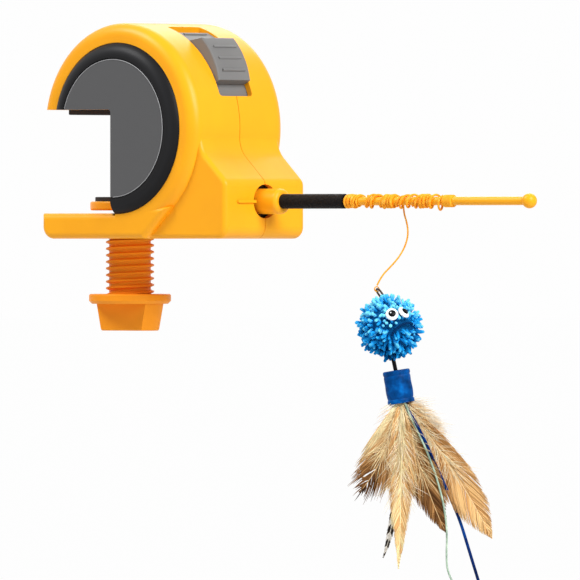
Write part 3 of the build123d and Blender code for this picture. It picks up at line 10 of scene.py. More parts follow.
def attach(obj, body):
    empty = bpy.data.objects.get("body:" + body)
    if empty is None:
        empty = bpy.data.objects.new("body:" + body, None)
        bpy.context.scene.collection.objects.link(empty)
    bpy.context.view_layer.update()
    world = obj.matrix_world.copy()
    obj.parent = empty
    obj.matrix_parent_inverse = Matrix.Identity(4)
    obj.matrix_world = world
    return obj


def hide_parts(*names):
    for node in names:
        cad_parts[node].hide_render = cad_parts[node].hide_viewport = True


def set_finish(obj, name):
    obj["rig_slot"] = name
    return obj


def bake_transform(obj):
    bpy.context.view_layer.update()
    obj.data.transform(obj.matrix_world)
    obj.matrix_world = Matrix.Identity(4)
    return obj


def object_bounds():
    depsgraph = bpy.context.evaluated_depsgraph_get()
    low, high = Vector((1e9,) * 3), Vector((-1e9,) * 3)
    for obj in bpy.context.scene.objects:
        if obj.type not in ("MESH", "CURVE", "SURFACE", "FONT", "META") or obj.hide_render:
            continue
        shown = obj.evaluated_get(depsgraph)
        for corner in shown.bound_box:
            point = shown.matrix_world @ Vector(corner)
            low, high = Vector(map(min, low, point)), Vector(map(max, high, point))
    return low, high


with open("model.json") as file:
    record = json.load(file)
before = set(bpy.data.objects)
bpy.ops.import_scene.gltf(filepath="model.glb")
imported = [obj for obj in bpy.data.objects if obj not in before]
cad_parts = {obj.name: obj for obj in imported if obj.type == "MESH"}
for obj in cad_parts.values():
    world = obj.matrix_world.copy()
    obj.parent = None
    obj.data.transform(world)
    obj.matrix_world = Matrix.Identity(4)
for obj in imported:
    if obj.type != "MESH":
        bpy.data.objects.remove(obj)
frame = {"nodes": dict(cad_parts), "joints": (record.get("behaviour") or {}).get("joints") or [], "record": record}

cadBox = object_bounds()
scene = bpy.context.scene
nodes = frame["nodes"]
up = Vector((0, 0, 1))
rodZ = -0.0349  # height of the wand's axis
drumAxis = (0.0182, -0.0056)  # x and z of the housing's round part
print("frame loaded:", len(nodes), "nodes")


# Camera at the photograph's angle, with a long lens
shot = {
    "turn": 42.7,  # degrees from the side view
    "rise": 0.2,
    "distance": 6.0,
    "clipEnd": 60.0,
    "frameWidth": 0.233,  # metres across the picture at the target
    "target": (0.0557, 0.0346, -0.0704),
    "sensor": 36.0,
}


def lookFrom(turn, rise):
    a, e = math.radians(turn), math.radians(rise)
    return Vector((math.sin(a) * math.cos(e), -math.cos(a) * math.cos(e), math.sin(e)))


def addCamera():
    data = bpy.data.cameras.new("shotCamera")
    data.sensor_width = shot["sensor"]
    data.lens = shot["sensor"] * shot["distance"] / shot["frameWidth"]
    data.clip_end = shot["clipEnd"]
    camera = bpy.data.objects.new("shotCamera", data)
    scene.collection.objects.link(camera)
    back = lookFrom(shot["turn"], shot["rise"])
    camera.location = Vector(shot["target"]) + back * shot["distance"]
    camera.rotation_euler = back.to_track_quat("Z", "Y").to_euler()
    scene.camera = camera


addCamera()
print("camera set")


# The toy hangs in a plane that faces the camera
toyPlace = {"origin": (0.1467, 0.00211, rodZ), "turn": shot["turn"]}
toyOrigin = Vector(toyPlace["origin"])
toyTowards = lookFrom(toyPlace["turn"], 0)
toyAcross = up.cross(toyTowards)


def toyVector(u, v, w=0.0):
    return toyAcross * u + up * v + toyTowards * w


def toyPoint(u, v, w=0.0):
    return toyOrigin + toyVector(u, v, w)


def link(name, mesh, smooth=True):
    piece = bpy.data.objects.new(name, mesh)
    scene.collection.objects.link(piece)
    for face in mesh.polygons:
        face.use_smooth = smooth
    return piece


def fromBmesh(name, bm, smooth=True):
    mesh = bpy.data.meshes.new(name)
    bm.to_mesh(mesh)
    bm.free()
    return link(name, mesh, smooth)


def nurbsCurve(name, points):
    curve = bpy.data.curves.new(name, "CURVE")
    curve.dimensions = "3D"
    curve.twist_mode = "MINIMUM"
    spline = curve.splines.new("NURBS")
    spline.points.add(len(points) - 1)
    for spot, place in zip(spline.points, points):
        spot.co = (*place, 1)
    spline.order_u = 3
    spline.use_endpoint_u = True
    spline.resolution_u = 8
    return curve


def curveMesh(curve):
    holder = bpy.data.objects.new(curve.name, curve)
    scene.collection.objects.link(holder)
    mesh = bpy.data.meshes.new_from_object(holder.evaluated_get(bpy.context.evaluated_depsgraph_get()))
    bpy.data.objects.remove(holder)
    return mesh


def curvePath(points):
    mesh = curveMesh(nurbsCurve("route", points))
    path = [v.co.copy() for v in mesh.vertices]
    bpy.data.meshes.remove(mesh)
    return path


def pathLength(path):
    return sum((b - a).length for a, b in zip(path, path[1:]))


def cordTube(name, points, radius, sides=3):
    curve = nurbsCurve(name, points)
    curve.bevel_depth = radius
    curve.bevel_resolution = sides
    curve.use_fill_caps = True
    return link(name, curveMesh(curve))


# String that hangs from the rod to the toy's eyelet
drop = {
    "route": (
        (0.0, 0.0), (0.0001, -0.0044), (0.0015, -0.0086), (0.0020, -0.0130), (0.0009, -0.0176),
        (-0.0015, -0.0220), (-0.0050, -0.0260), (-0.0086, -0.0296), (-0.0104, -0.0334),
    ),
    "radius": 0.00035,
}


def addDrop():
    points = [toyPoint(u, v) for u, v in drop["route"]]
    path = curvePath(points)
    piece = cordTube("hangingString", points, drop["radius"])
    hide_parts("string_drop")
    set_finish(piece, "string_tan")
    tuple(path[0])
    pathLength(path)
    return piece, path


hangingString, dropPath = addDrop()
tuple(dropPath[0])
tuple(dropPath[-1])
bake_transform(hangingString)


# Pale string and flat ribbon among the feathers
tailString = {
    "route": (
        (-0.0006, -0.0760), (0.0016, -0.0830), (0.0064, -0.0925), (0.0106, -0.1020), (0.0140, -0.1120),
        (0.0164, -0.1220), (0.0174, -0.1320), (0.0170, -0.1410), (0.0176, -0.1476), (0.0208, -0.1532),
    ),
    "radius": 0.0004,
    "layer": 0.0030,
}
ribbon = {
    "route": (
        (-0.0008, -0.0760), (0.0020, -0.0830), (0.0076, -0.0925), (0.0126, -0.1040),
        (0.0176, -0.1150), (0.0224, -0.1260), (0.0260, -0.1380), (0.0306, -0.1530),
    ),
    "width": 0.0012,
    "thickness": 0.0003,
    "layers": (0.0, 0.0030, 0.0036, 0.0026, -0.0046, -0.0060, -0.0056, -0.0050),
    "twist": 0.5,  # radians the flat sways along its length
    "swayTurn": 4.0,  # radians of the sway from end to end
}


def addTailString():
    points = [toyPoint(u, v, tailString["layer"]) for u, v in tailString["route"]]
    path = curvePath(points)
    piece = cordTube("paleString", points, tailString["radius"])
    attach(piece, "tail")
    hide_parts("tail_string")
    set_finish(piece, "tail_green")
    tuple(path[0])
    pathLength(path)
    return piece


def addRibbon():
    path = curvePath([toyPoint(u, v, w) for (u, v), w in zip(ribbon["route"], ribbon["layers"])])
    bm = bmesh.new()
    edge = None
    for i, place in enumerate(path):
        ahead = (path[min(i + 1, len(path) - 1)] - path[max(i - 1, 0)]).normalized()
        sway = ribbon["twist"] * math.sin(ribbon["swayTurn"] * i / len(path))
        flat = Matrix.Rotation(sway, 3, ahead) @ ahead.cross(toyTowards).normalized()
        ends = (place - flat * ribbon["width"] / 2, place + flat * ribbon["width"] / 2)
        if edge is None:
            pair = [bm.verts.new(end) for end in ends]
            edge = bm.edges.new(pair)
            continue
        grown = bmesh.ops.extrude_edge_only(bm, edges=[edge])["geom"]
        edge = next(item for item in grown if isinstance(item, bmesh.types.BMEdge))
        fresh = [item for item in grown if isinstance(item, bmesh.types.BMVert)]
        fresh.sort(key=lambda vert: (vert.co - pair[0].co).length)
        for vert, end in zip(fresh, ends):
            vert.co = end
        pair = fresh
    piece = fromBmesh("flatRibbon", bm)
    body = piece.modifiers.new("thickness", "SOLIDIFY")
    body.thickness = ribbon["thickness"]
    body.offset = 0
    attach(piece, "tail")
    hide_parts("tail_ribbon")
    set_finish(piece, "ribbon_navy")
    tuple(path[0])
    pathLength(path)
    return piece


paleString = addTailString()
flatRibbon = addRibbon()


# String wound on the rod: tight clusters joined by long strides, with loose laps over them
winding = {
    "startX": 0.119, "radius": 0.00211, "thread": 0.00035,
    "clusters": 3, "clusterTurns": 5, "clusterPitch": 0.0013,
    "strideTurns": 1.5, "stride": 0.013, "perTurn": 12,
}
overLaps = (
    {"startX": 0.1184, "turns": 6.4, "pitch": 0.00085, "phase": 0.10, "sag": 0.0},
    {"startX": 0.1225, "turns": 2.4, "pitch": 0.0072, "phase": 0.55, "sag": 0.0},
    {"startX": 0.1290, "turns": 2.2, "pitch": 0.0064, "phase": 0.05, "sag": 0.0003},
    {"startX": 0.1385, "turns": 4.2, "pitch": 0.0016, "phase": 0.30, "sag": 0.0},
    {"startX": 0.1420, "turns": 2.5, "pitch": 0.0076, "phase": 0.75, "sag": 0.0002},
    {"startX": 0.1510, "turns": 2.4, "pitch": 0.0060, "phase": 0.40, "sag": 0.0003},
    {"startX": 0.1585, "turns": 2.6, "pitch": 0.0021, "phase": 0.20, "sag": 0.0},
    {"startX": 0.1640, "turns": 1.4, "pitch": 0.0052, "phase": 0.60, "sag": 0.0012},
)
looseLap = {
    "radius": 0.0025, "thread": 0.00045,
    "tuck": 0.0003, "tuckTurns": 0.25,  # each end drops to the lower layer
    "swell": 0.00012, "swellRate": 5, "drift": 0.00025, "driftRate": 3,
}


def woundX(turns):
    lap = winding["clusterTurns"] + winding["strideTurns"]
    cluster = min(int(turns // lap), winding["clusters"] - 1)
    rest = turns - cluster * lap
    x = winding["startX"] + cluster * (winding["clusterTurns"] * winding["clusterPitch"] + winding["stride"])
    x += min(rest, winding["clusterTurns"]) * winding["clusterPitch"]
    return x + max(rest - winding["clusterTurns"], 0) * winding["stride"] / winding["strideTurns"]


def roundRod(x, turns, radius):
    angle = 2 * math.pi * turns
    return Vector((x, radius * math.sin(angle), rodZ + radius * math.cos(angle)))


def addWinding():
    turns = winding["clusters"] * winding["clusterTurns"] + (winding["clusters"] - 1) * winding["strideTurns"]
    count = int(turns * winding["perTurn"])
    steps = [i / winding["perTurn"] for i in range(count + 1)]
    points = [roundRod(woundX(t), t, winding["radius"]) for t in steps]
    path = curvePath(points)
    piece = cordTube("woundString", points, winding["thread"], 2)
    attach(piece, "wand")
    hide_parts("string_winding")
    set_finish(piece, "string_tan")
    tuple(path[0])
    pathLength(path)
    return piece


def addOverLaps():
    made = []
    for i, lap in enumerate(overLaps):
        count = int(lap["turns"] * winding["perTurn"])
        points = []
        for k in range(count + 1):
            turns = k / winding["perTurn"]
            fromEnd = min(k, count - k) / winding["perTurn"]
            radius = looseLap["radius"] - looseLap["tuck"] * max(0, 1 - fromEnd / looseLap["tuckTurns"])
            radius += looseLap["swell"] * math.sin(looseLap["swellRate"] * turns + i)
            x = lap["startX"] + turns * lap["pitch"]
            x += looseLap["drift"] * math.sin(looseLap["driftRate"] * turns + 2 * i)
            place = roundRod(x, turns + lap["phase"], radius)
            place.z -= lap["sag"] * max(0, -math.cos(2 * math.pi * (turns + lap["phase"])))
            points.append(place)
        made.append(cordTube(f"looseLap{i}", points, looseLap["thread"], 2))
        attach(made[-1], "wand")
        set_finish(made[-1], "string_tan")
    return made


woundString = addWinding()
looseLaps = addOverLaps()
print("cords made")


# Finishes: each is a small node tree on object coordinates
softSpecular = 0.05  # threads and barbs hardly shine


def toLinear(colour):
    parts = [c / 255 for c in colour]
    return tuple(c / 12.92 if c <= 0.04045 else ((c + 0.055) / 1.055) ** 2.4 for c in parts) + (1.0,)


def shadeOf(colour, factor):
    return tuple(min(255, c * factor) for c in colour)


def newFinish(name):
    material = bpy.data.materials.new(name)
    material.use_nodes = True
    return material, material.node_tree, material.node_tree.nodes["Principled BSDF"]


def addNode(tree, kind, **values):
    node = tree.nodes.new(kind)
    for key, value in values.items():
        if hasattr(node, key):
            setattr(node, key, value)
        else:
            node.inputs[key].default_value = value
    return node


def placeOf(tree, stretch=(1, 1, 1)):
    coordinates = addNode(tree, "ShaderNodeTexCoord")
    mapping = addNode(tree, "ShaderNodeMapping", Scale=stretch)
    tree.links.new(coordinates.outputs["Object"], mapping.inputs["Vector"])
    return mapping.outputs["Vector"]


def noiseOn(tree, place, scale, detail=3.0):
    node = addNode(tree, "ShaderNodeTexNoise", Scale=scale, Detail=detail, Roughness=0.55)
    tree.links.new(place, node.inputs["Vector"])
    return node.outputs["Fac"]


def ramp(tree, source, stops):
    node = addNode(tree, "ShaderNodeValToRGB")
    node.color_ramp.elements[0].position = stops[0][0]
    node.color_ramp.elements[1].position = stops[-1][0]
    for position, _ in stops[1:-1]:
        node.color_ramp.elements.new(position)
    for element, (_, colour) in zip(node.color_ramp.elements, stops):
        element.color = toLinear(colour)
    tree.links.new(source, node.inputs["Fac"])
    return node.outputs["Color"]


def rangeOf(tree, source, low, high):
    node = addNode(tree, "ShaderNodeMapRange")
    node.inputs["To Min"].default_value = low
    node.inputs["To Max"].default_value = high
    tree.links.new(source, node.inputs["Value"])
    return node.outputs["Result"]


def bumpOn(tree, shader, height, strength, depth):
    node = addNode(tree, "ShaderNodeBump", Strength=strength, Distance=depth)
    tree.links.new(height, node.inputs["Height"])
    tree.links.new(node.outputs["Normal"], shader.inputs["Normal"])


def roughOn(tree, shader, source, rough, below, above):
    tree.links.new(rangeOf(tree, source, rough - below, rough + above), shader.inputs["Roughness"])


def mouldedPlastic(name, look):
    material, tree, shader = newFinish(name)
    place = placeOf(tree)
    cloud = noiseOn(tree, place, look.get("cloud", 45))
    grain = noiseOn(tree, place, look["grain"], detail=2.0)
    colour, vary = look["colour"], look["vary"]
    stops = [(0.3, shadeOf(colour, 1 - vary)), (0.7, shadeOf(colour, 1 + vary))]
    tree.links.new(ramp(tree, cloud, stops), shader.inputs["Base Color"])
    roughOn(tree, shader, grain, look["roughness"], below=0.06, above=0.06)
    bumpOn(tree, shader, grain, look["bump"], look.get("depth", 0.0001))
    shader.inputs["Coat Weight"].default_value = look.get("coat", 0.0)
    shader.inputs["Coat Roughness"].default_value = 0.25
    shader.inputs["Specular IOR Level"].default_value = look.get("specular", 0.2)
    return material


def shadedRingCover(name, look):
    # Painted shade and highlight: the convex ring round the matt disc is coloured darker, with a slightly lighter
    # band across it, by distance from the drum's axis
    material, tree, shader = newFinish(name)
    place = placeOf(tree)
    flat = addNode(tree, "ShaderNodeVectorMath", operation="MULTIPLY_ADD")
    flat.inputs[1].default_value = (1, 0, 1)
    flat.inputs[2].default_value = (-look["axis"][0], 0, -look["axis"][1])
    away = addNode(tree, "ShaderNodeVectorMath", operation="LENGTH")
    tree.links.new(place, flat.inputs[0])
    tree.links.new(flat.outputs["Vector"], away.inputs[0])
    share = rangeOf(tree, away.outputs["Value"], 0.0, 1.0)
    share.node.inputs["From Max"].default_value = look["radius"]
    tree.links.new(ramp(tree, share, look["stops"]), shader.inputs["Base Color"])
    grain = noiseOn(tree, place, look["grain"], detail=2.0)
    roughOn(tree, shader, grain, look["roughness"], below=0.06, above=0.06)
    bumpOn(tree, shader, grain, look["bump"], depth=0.0001)
    shader.inputs["Specular IOR Level"].default_value = look["specular"]
    return material


def plainMetal(name, look):
    material, tree, shader = newFinish(name)
    scratch = noiseOn(tree, placeOf(tree), look["grain"])
    stops = [(0.3, shadeOf(look["colour"], 0.9)), (0.7, shadeOf(look["colour"], 1.06))]
    tree.links.new(ramp(tree, scratch, stops), shader.inputs["Base Color"])
    roughOn(tree, shader, scratch, look["roughness"], below=0.08, above=0.1)
    bumpOn(tree, shader, scratch, strength=0.05, depth=0.00005)
    shader.inputs["Metallic"].default_value = look.get("metallic", 1.0)
    return material


def wovenCloth(name, look):
    material, tree, shader = newFinish(name)
    cloud = noiseOn(tree, placeOf(tree), look["cloud"])
    threads = noiseOn(tree, placeOf(tree, look["stretch"]), look["grain"], detail=2.0)
    stops = [(0.3, look["dark"]), (0.55, look["colour"]), (0.78, look["light"])]
    tree.links.new(ramp(tree, cloud, stops), shader.inputs["Base Color"])
    roughOn(tree, shader, threads, look["roughness"], below=0.1, above=0.1)
    bumpOn(tree, shader, threads, look["bump"], depth=0.0002)
    shader.inputs["Specular IOR Level"].default_value = softSpecular
    return material


def shadedFibre(name, look):
    # Colour follows the piece's own shade attribute, from root to tip and strand to strand
    material, tree, shader = newFinish(name)
    # On the tufted ball the shade attribute also carries painted shade at the core, roots and crease, and painted
    # light towards the top and the tips
    shade = addNode(tree, "ShaderNodeAttribute", attribute_name="shade")
    fuzz = noiseOn(tree, placeOf(tree), look["grain"])
    tree.links.new(ramp(tree, shade.outputs["Fac"], look["stops"]), shader.inputs["Base Color"])
    roughOn(tree, shader, fuzz, look["roughness"], below=0.1, above=0.1)
    bumpOn(tree, shader, fuzz, look["bump"], depth=0.0003)
    shader.inputs["Specular IOR Level"].default_value = softSpecular
    return material


plasticLooks = {
    "orange_plastic": {
        "colour": (255, 171, 24), "grain": 1500, "roughness": 0.36,
        "bump": 0.04, "vary": 0.02, "specular": 0.22,
    },
    "orange_knob": {
        "colour": (255, 156, 34), "grain": 1500, "roughness": 0.42,
        "bump": 0.06, "vary": 0.03, "specular": 0.12,
    },
    # Pale grey of the painted highlight line round the cover discs
    "highlight_grey": {
        "colour": (159, 159, 161), "grain": 1700, "roughness": 0.4,
        "bump": 0.05, "vary": 0.03, "specular": 0.2,
    },
    "slider_grey": {
        "colour": (119, 118, 117), "grain": 1700, "roughness": 0.45,
        "bump": 0.1, "vary": 0.03, "specular": 0.15,
    },
    "dark_rubber": {
        "colour": (57, 53, 52), "grain": 2200, "roughness": 0.75, "bump": 0.2, "vary": 0.06, "specular": 0.08,
    },
    "grip_black": {
        "colour": (25, 22, 22), "grain": 1000, "roughness": 0.5, "bump": 0.9, "depth": 0.0006, "vary": 0.15,
        "cloud": 400, "specular": 0.05,
    },
    "black_plastic": {
        "colour": (21, 19, 21), "grain": 1500, "roughness": 0.5, "bump": 0.08, "vary": 0.05, "specular": 0.05,
    },
    "board_green": {"colour": (34, 122, 69), "grain": 900, "roughness": 0.4, "bump": 0.1, "vary": 0.08},
    "white_nylon": {"colour": (228, 225, 214), "grain": 1500, "roughness": 0.45, "bump": 0.06, "vary": 0.02},
    "eye_white": {
        "colour": (244, 246, 248), "grain": 1200, "roughness": 0.2, "bump": 0.03, "vary": 0.01, "coat": 0.5,
    },
    "pupil_black": {
        "colour": (11, 11, 12), "grain": 1200, "roughness": 0.3, "bump": 0.02, "vary": 0.1, "specular": 0.06,
    },
    "cell_silver": {"colour": (175, 180, 191), "grain": 700, "roughness": 0.35, "bump": 0.05, "vary": 0.05},
}
# Painted shade on the cover's convex ring: darker than the disc, with a slightly lighter band as a painted
# highlight
coverLook = {
    "axis": drumAxis, "radius": 0.0342, "grain": 1700, "roughness": 0.4, "bump": 0.1, "specular": 0.12,
    "stops": [
        (0.0, (90, 90, 91)), (0.79, (90, 90, 91)),
        (0.82, (22, 22, 23)), (0.91, (30, 30, 32)), (1.0, (18, 18, 19)),
    ],
}
metalLooks = {
    "steel": {"colour": (196, 197, 200), "grain": 1200, "roughness": 0.34},
    "brass": {"colour": (214, 176, 92), "grain": 900, "roughness": 0.3},
    "dark_wire": {"colour": (58, 44, 36), "grain": 1500, "roughness": 0.4, "metallic": 0.6},
}
clothLooks = {
    "string_tan": {
        "dark": (252, 154, 34), "colour": (255, 174, 48), "light": (255, 200, 98),
        "cloud": 500, "grain": 2600, "stretch": (1, 1, 0.5), "roughness": 0.7, "bump": 0.15,
    },
    "satin_blue": {
        "dark": (1, 44, 90), "colour": (3, 73, 142), "light": (6, 108, 191), "cloud": 260, "grain": 2600,
        "stretch": (1, 1, 0.25), "roughness": 0.4, "bump": 0.25,
    },
    "tail_green": {
        "dark": (122, 145, 131), "colour": (177, 200, 177), "light": (223, 239, 214),
        "cloud": 260, "grain": 3000, "stretch": (1, 1, 0.5), "roughness": 0.7, "bump": 0.4,
    },
    "ribbon_navy": {
        "dark": (4, 16, 48), "colour": (8, 39, 99), "light": (11, 78, 161), "cloud": 90, "grain": 2600,
        "stretch": (1, 1, 0.2), "roughness": 0.45, "bump": 0.2,
    },
}
fibreLooks = {
    "plush_blue": {
        "stops": [(0.0, (3, 46, 90)), (0.3, (8, 117, 188)), (0.6, (28, 164, 238)), (1.0, (126, 228, 252))],
        "grain": 2400, "roughness": 0.8, "bump": 0.8,
    },
    "feather_tan": {
        "stops": [
            (0.0, (122, 78, 37)), (0.35, (207, 152, 92)), (0.7, (252, 212, 149)), (1.0, (252, 252, 225)),
        ],
        "grain": 2600, "roughness": 0.6, "bump": 0.3,
    },
    "feather_brown": {
        "stops": [(0.0, (53, 34, 23)), (0.3, (129, 87, 48)), (0.65, (205, 154, 96)), (1.0, (252, 239, 191))],
        "grain": 2600, "roughness": 0.6, "bump": 0.3,
    },
    "feather_pale": {
        "stops": [
            (0.0, (163, 115, 62)), (0.35, (239, 188, 124)), (0.7, (252, 237, 182)), (1.0, (254, 240, 214)),
        ],
        "grain": 2600, "roughness": 0.6, "bump": 0.3,
    },
    "feather_grey": {
        "stops": [(0.0, (37, 34, 32)), (0.45, (108, 94, 78)), (0.6, (216, 207, 191)), (1.0, (238, 234, 226))],
        "grain": 2600, "roughness": 0.6, "bump": 0.3,
    },
    "feather_cream": {
        "stops": [(0.0, (156, 124, 90)), (0.5, (248, 221, 182)), (1.0, (254, 246, 228))],
        "grain": 2600, "roughness": 0.7, "bump": 0.3,
    },
}
finishes = {name: mouldedPlastic(name, look) for name, look in plasticLooks.items()}
finishes["grey_plastic"] = shadedRingCover("grey_plastic", coverLook)
finishes.update({name: plainMetal(name, look) for name, look in metalLooks.items()})
finishes.update({name: wovenCloth(name, look) for name, look in clothLooks.items()})
finishes.update({name: shadedFibre(name, look) for name, look in fibreLooks.items()})


def dress(piece, slot):
    piece.data.materials.clear()
    piece.data.materials.append(finishes[slot])


for part in frame["record"]["subparts"]:
    dress(nodes[part["node"]], part["material_slot"])
for piece in (hangingString, paleString, flatRibbon, woundString, *looseLaps):
    dress(piece, piece["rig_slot"])
print("finishes made:", len(finishes))


def shadeLayer(bm):
    return bm.verts.layers.float.new("shade")


def growRing(bm, ring, places):
    edges = [bm.edges.get((ring[i - 1], ring[i])) for i in range(len(ring))]
    grown = bmesh.ops.extrude_edge_only(bm, edges=edges)["geom"]
    fresh = {item for item in grown if isinstance(item, bmesh.types.BMVert)}
    ends = []
    for vert, place in zip(ring, places):
        twin = next(edge.other_vert(vert) for edge in vert.link_edges if edge.other_vert(vert) in fresh)
        twin.co = place
        ends.append(twin)
    return ends


# Tufted ball: a soft core with finger-like yarn tufts, parted round the eyes and along the mouth's crease; painted
# shade darkens the core and the crease, and painted light makes the tufts paler towards the top
ball = {
    # coreShade is painted shade: the core shows dark between the tufts
    "centre": (-0.0054, -0.0499), "coreRadius": 0.0102, "coreShade": 0.1, "seed": 11,
    "tufts": 540, "reach": 0.0134, "reachVary": (-0.0018, 0.0010), "rootRadius": 0.0088,
    "tuftRadius": 0.00066, "radiusVary": (0.85, 1.18), "lean": 0.75, "droop": 0.42, "bend": 0.0012,
    # paintedTopLight: painted light, tufts paler towards the top and darker below
    "shade": 0.40, "shadeVary": (-0.2, 0.3), "paintedTopLight": 0.3,  # paler towards the top
    "browNear": 9, "browReach": 0.0127, "browLean": 0.25, "browShade": 0.15,  # degrees round an eye
    "mouth": (
        (0.0010, -0.0034), (0.0024, -0.0012), (0.0042, 0.0006),
        (0.0064, 0.0017), (0.0086, 0.0020), (0.0108, 0.0014),
    ),
    "mouthGap": 0.0010, "lipNear": 0.0026, "lipLean": 0.4, "lipRise": -0.45, "lipHang": 0.9,
    # The crease tufts are dark: painted shade in the mouth's crease
    "creaseRadius": 0.0119, "creaseThread": 0.0005, "creaseOverlap": 0.4, "creaseShade": -0.3,
}
# paintedTipLight: painted shade and light, each tuft darker at its root among the others and paler towards its tip
tuft = {"segments": 6, "blunt": 0.45, "paintedTipLight": 0.3}
eyes = (
    {"spot": (0.07, 0.42), "faces": (0.07, 0.42), "clear": 12.4},
    {"spot": (0.45, 0.48), "faces": (0.62, 0.64), "clear": 9.5},
)
eye = {
    "out": 0.0122, "radius": 0.0026, "height": 0.0011, "segments": 24,
    "pupil": 0.0015, "pupilHeight": 0.0004, "pupilSunk": 0.0002,
    # The glint entries size the painted glint on each pupil
    "glint": 0.0003, "glintHeight": 0.0002, "glintProud": 0.00012, "glintShift": (-0.0006, 0.0002),
}


def facing(u, v):
    return toyVector(u, v, math.sqrt(max(0, 1 - u * u - v * v)))


def addTuft(bm, layer, root, tip, radius, bend, shade):
    count = tuft["segments"]
    made = bmesh.ops.create_uvsphere(bm, u_segments=count, v_segments=count, radius=1)["verts"]
    along = tip - root
    turn = along.to_track_quat("Z", "Y").to_matrix()
    for vert in made:
        height = vert.co.z
        atPole = abs(height) > 0.99
        girth = 0.0 if atPole else (1 - height ** 6 * tuft["blunt"]) / vert.co.xy.length
        side = vert.co.xy * girth * radius
        local = Vector((side.x, side.y, height * along.length / 2))
        vert.co = (root + tip) / 2 + turn @ local + bend * (height + 1) ** 2 / 4
        # Painted shade and light: darker at the root, paler towards the tip
        vert[layer] = min(1, max(0, shade + tuft["paintedTipLight"] * height))


def addBall():
    random.seed(ball["seed"])
    centre = toyPoint(*ball["centre"])
    mouth = curvePath([facing(u / ball["reach"], v / ball["reach"]) for u, v in ball["mouth"]])
    bm = bmesh.new()
    layer = shadeLayer(bm)
    core = bmesh.ops.create_icosphere(bm, subdivisions=4, radius=ball["coreRadius"])["verts"]
    for vert in core:
        vert.co += centre
        # Painted shade: the core is dark where shade falls between the tufts
        vert[layer] = ball["coreShade"]
    golden = math.pi * (3 - math.sqrt(5))
    for i in range(ball["tufts"]):
        height = 1 - 2 * (i + 0.5) / ball["tufts"]
        span = math.sqrt(1 - height * height)
        out = Vector((span * math.cos(golden * i), span * math.sin(golden * i), height))
        sway = Vector([random.uniform(-1, 1) for _ in range(3)])
        reach = ball["reach"] + random.uniform(*ball["reachVary"])
        # Painted light: the tone rises towards the top of the ball
        shade = ball["shade"] + random.uniform(*ball["shadeVary"]) + ball["paintedTopLight"] * out.z
        lean = ball["lean"]
        droop = ball["droop"]
        nearEye = min(math.degrees(out.angle(facing(*look["spot"]))) - look["clear"] for look in eyes)
        lip = min(mouth, key=lambda spot: (out - spot.normalized()).length).normalized()
        nearMouth = (out - lip).length * ball["reach"]
        if nearEye < 0 or nearMouth < ball["mouthGap"]:
            continue
        if nearEye < ball["browNear"]:
            reach = ball["browReach"]
            lean *= ball["browLean"]
            droop = 0
            shade += ball["browShade"]
        if nearMouth < ball["lipNear"]:
            lean *= ball["lipLean"]
            droop = ball["lipRise"] if out.z > lip.z else ball["lipHang"]
        root = centre + out * ball["rootRadius"]
        heading = (out + sway * lean - up * droop * span).normalized()
        tip = root + heading * (reach - ball["rootRadius"])
        bend = sway.cross(heading) * ball["bend"]
        radius = ball["tuftRadius"] * random.uniform(*ball["radiusVary"])
        addTuft(bm, layer, root, tip, radius, bend, shade)
    # Dark tufts along the mouth: painted shade in the crease
    for a, b in zip(mouth[::2], mouth[2::2]):
        low, high = (centre + spot.normalized() * ball["creaseRadius"] for spot in (a, b))
        low -= (high - low) * ball["creaseOverlap"]
        addTuft(bm, layer, low, high, ball["creaseThread"], Vector(), ball["creaseShade"])
    piece = fromBmesh("tuftedBall", bm)
    dress(piece, "plush_blue")
    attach(piece, "toy")
    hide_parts("toy_ball")
    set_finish(piece, "plush_blue")
    return piece


addBall()
print("ball made")


# Eyes set in the tufts, with black pupils and a white dome on each as a painted glint
def addDomes(name, slot, node, radius, height, out, shift=(0, 0)):
    bm = bmesh.new()
    centre = toyPoint(*ball["centre"])
    for look in eyes:
        count = eye["segments"]
        made = bmesh.ops.create_uvsphere(bm, u_segments=count, v_segments=count // 2, radius=1)["verts"]
        towards = facing(*look["faces"])
        turn = towards.to_track_quat("Z", "Y").to_matrix()
        middle = centre + facing(*look["spot"]) * eye["out"] + towards * out + toyVector(*shift)
        for vert in made:
            vert.co = middle + turn @ Vector((vert.co.x * radius, vert.co.y * radius, vert.co.z * height))
    piece = fromBmesh(name, bm)
    dress(piece, slot)
    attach(piece, "toy")
    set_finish(piece, slot)
    if node:
        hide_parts(node)


addDomes("whiteEyes", "eye_white", "toy_eyes", eye["radius"], eye["height"], 0)
pupilOut = eye["height"] - eye["pupilSunk"]
glintOut = eye["height"] + eye["glintProud"]
addDomes("blackPupils", "pupil_black", "toy_pupils", eye["pupil"], eye["pupilHeight"], pupilOut)
# Small white domes on the pupils: painted glints
addDomes("eyeGlints", "eye_white", None, eye["glint"], eye["glintHeight"], glintOut, eye["glintShift"])


# Two turns of string round the eyelet, at the toy's swing axis
eyelet = next(joint for joint in frame["joints"] if joint["name"] == "toy_swing")
knot = {
    "radius": 0.00100, "thread": 0.0002, "spread": 0.0001, "tilt": 0.1,
    "sides": 10, "steps": 24, "merge": 1e-6,
}


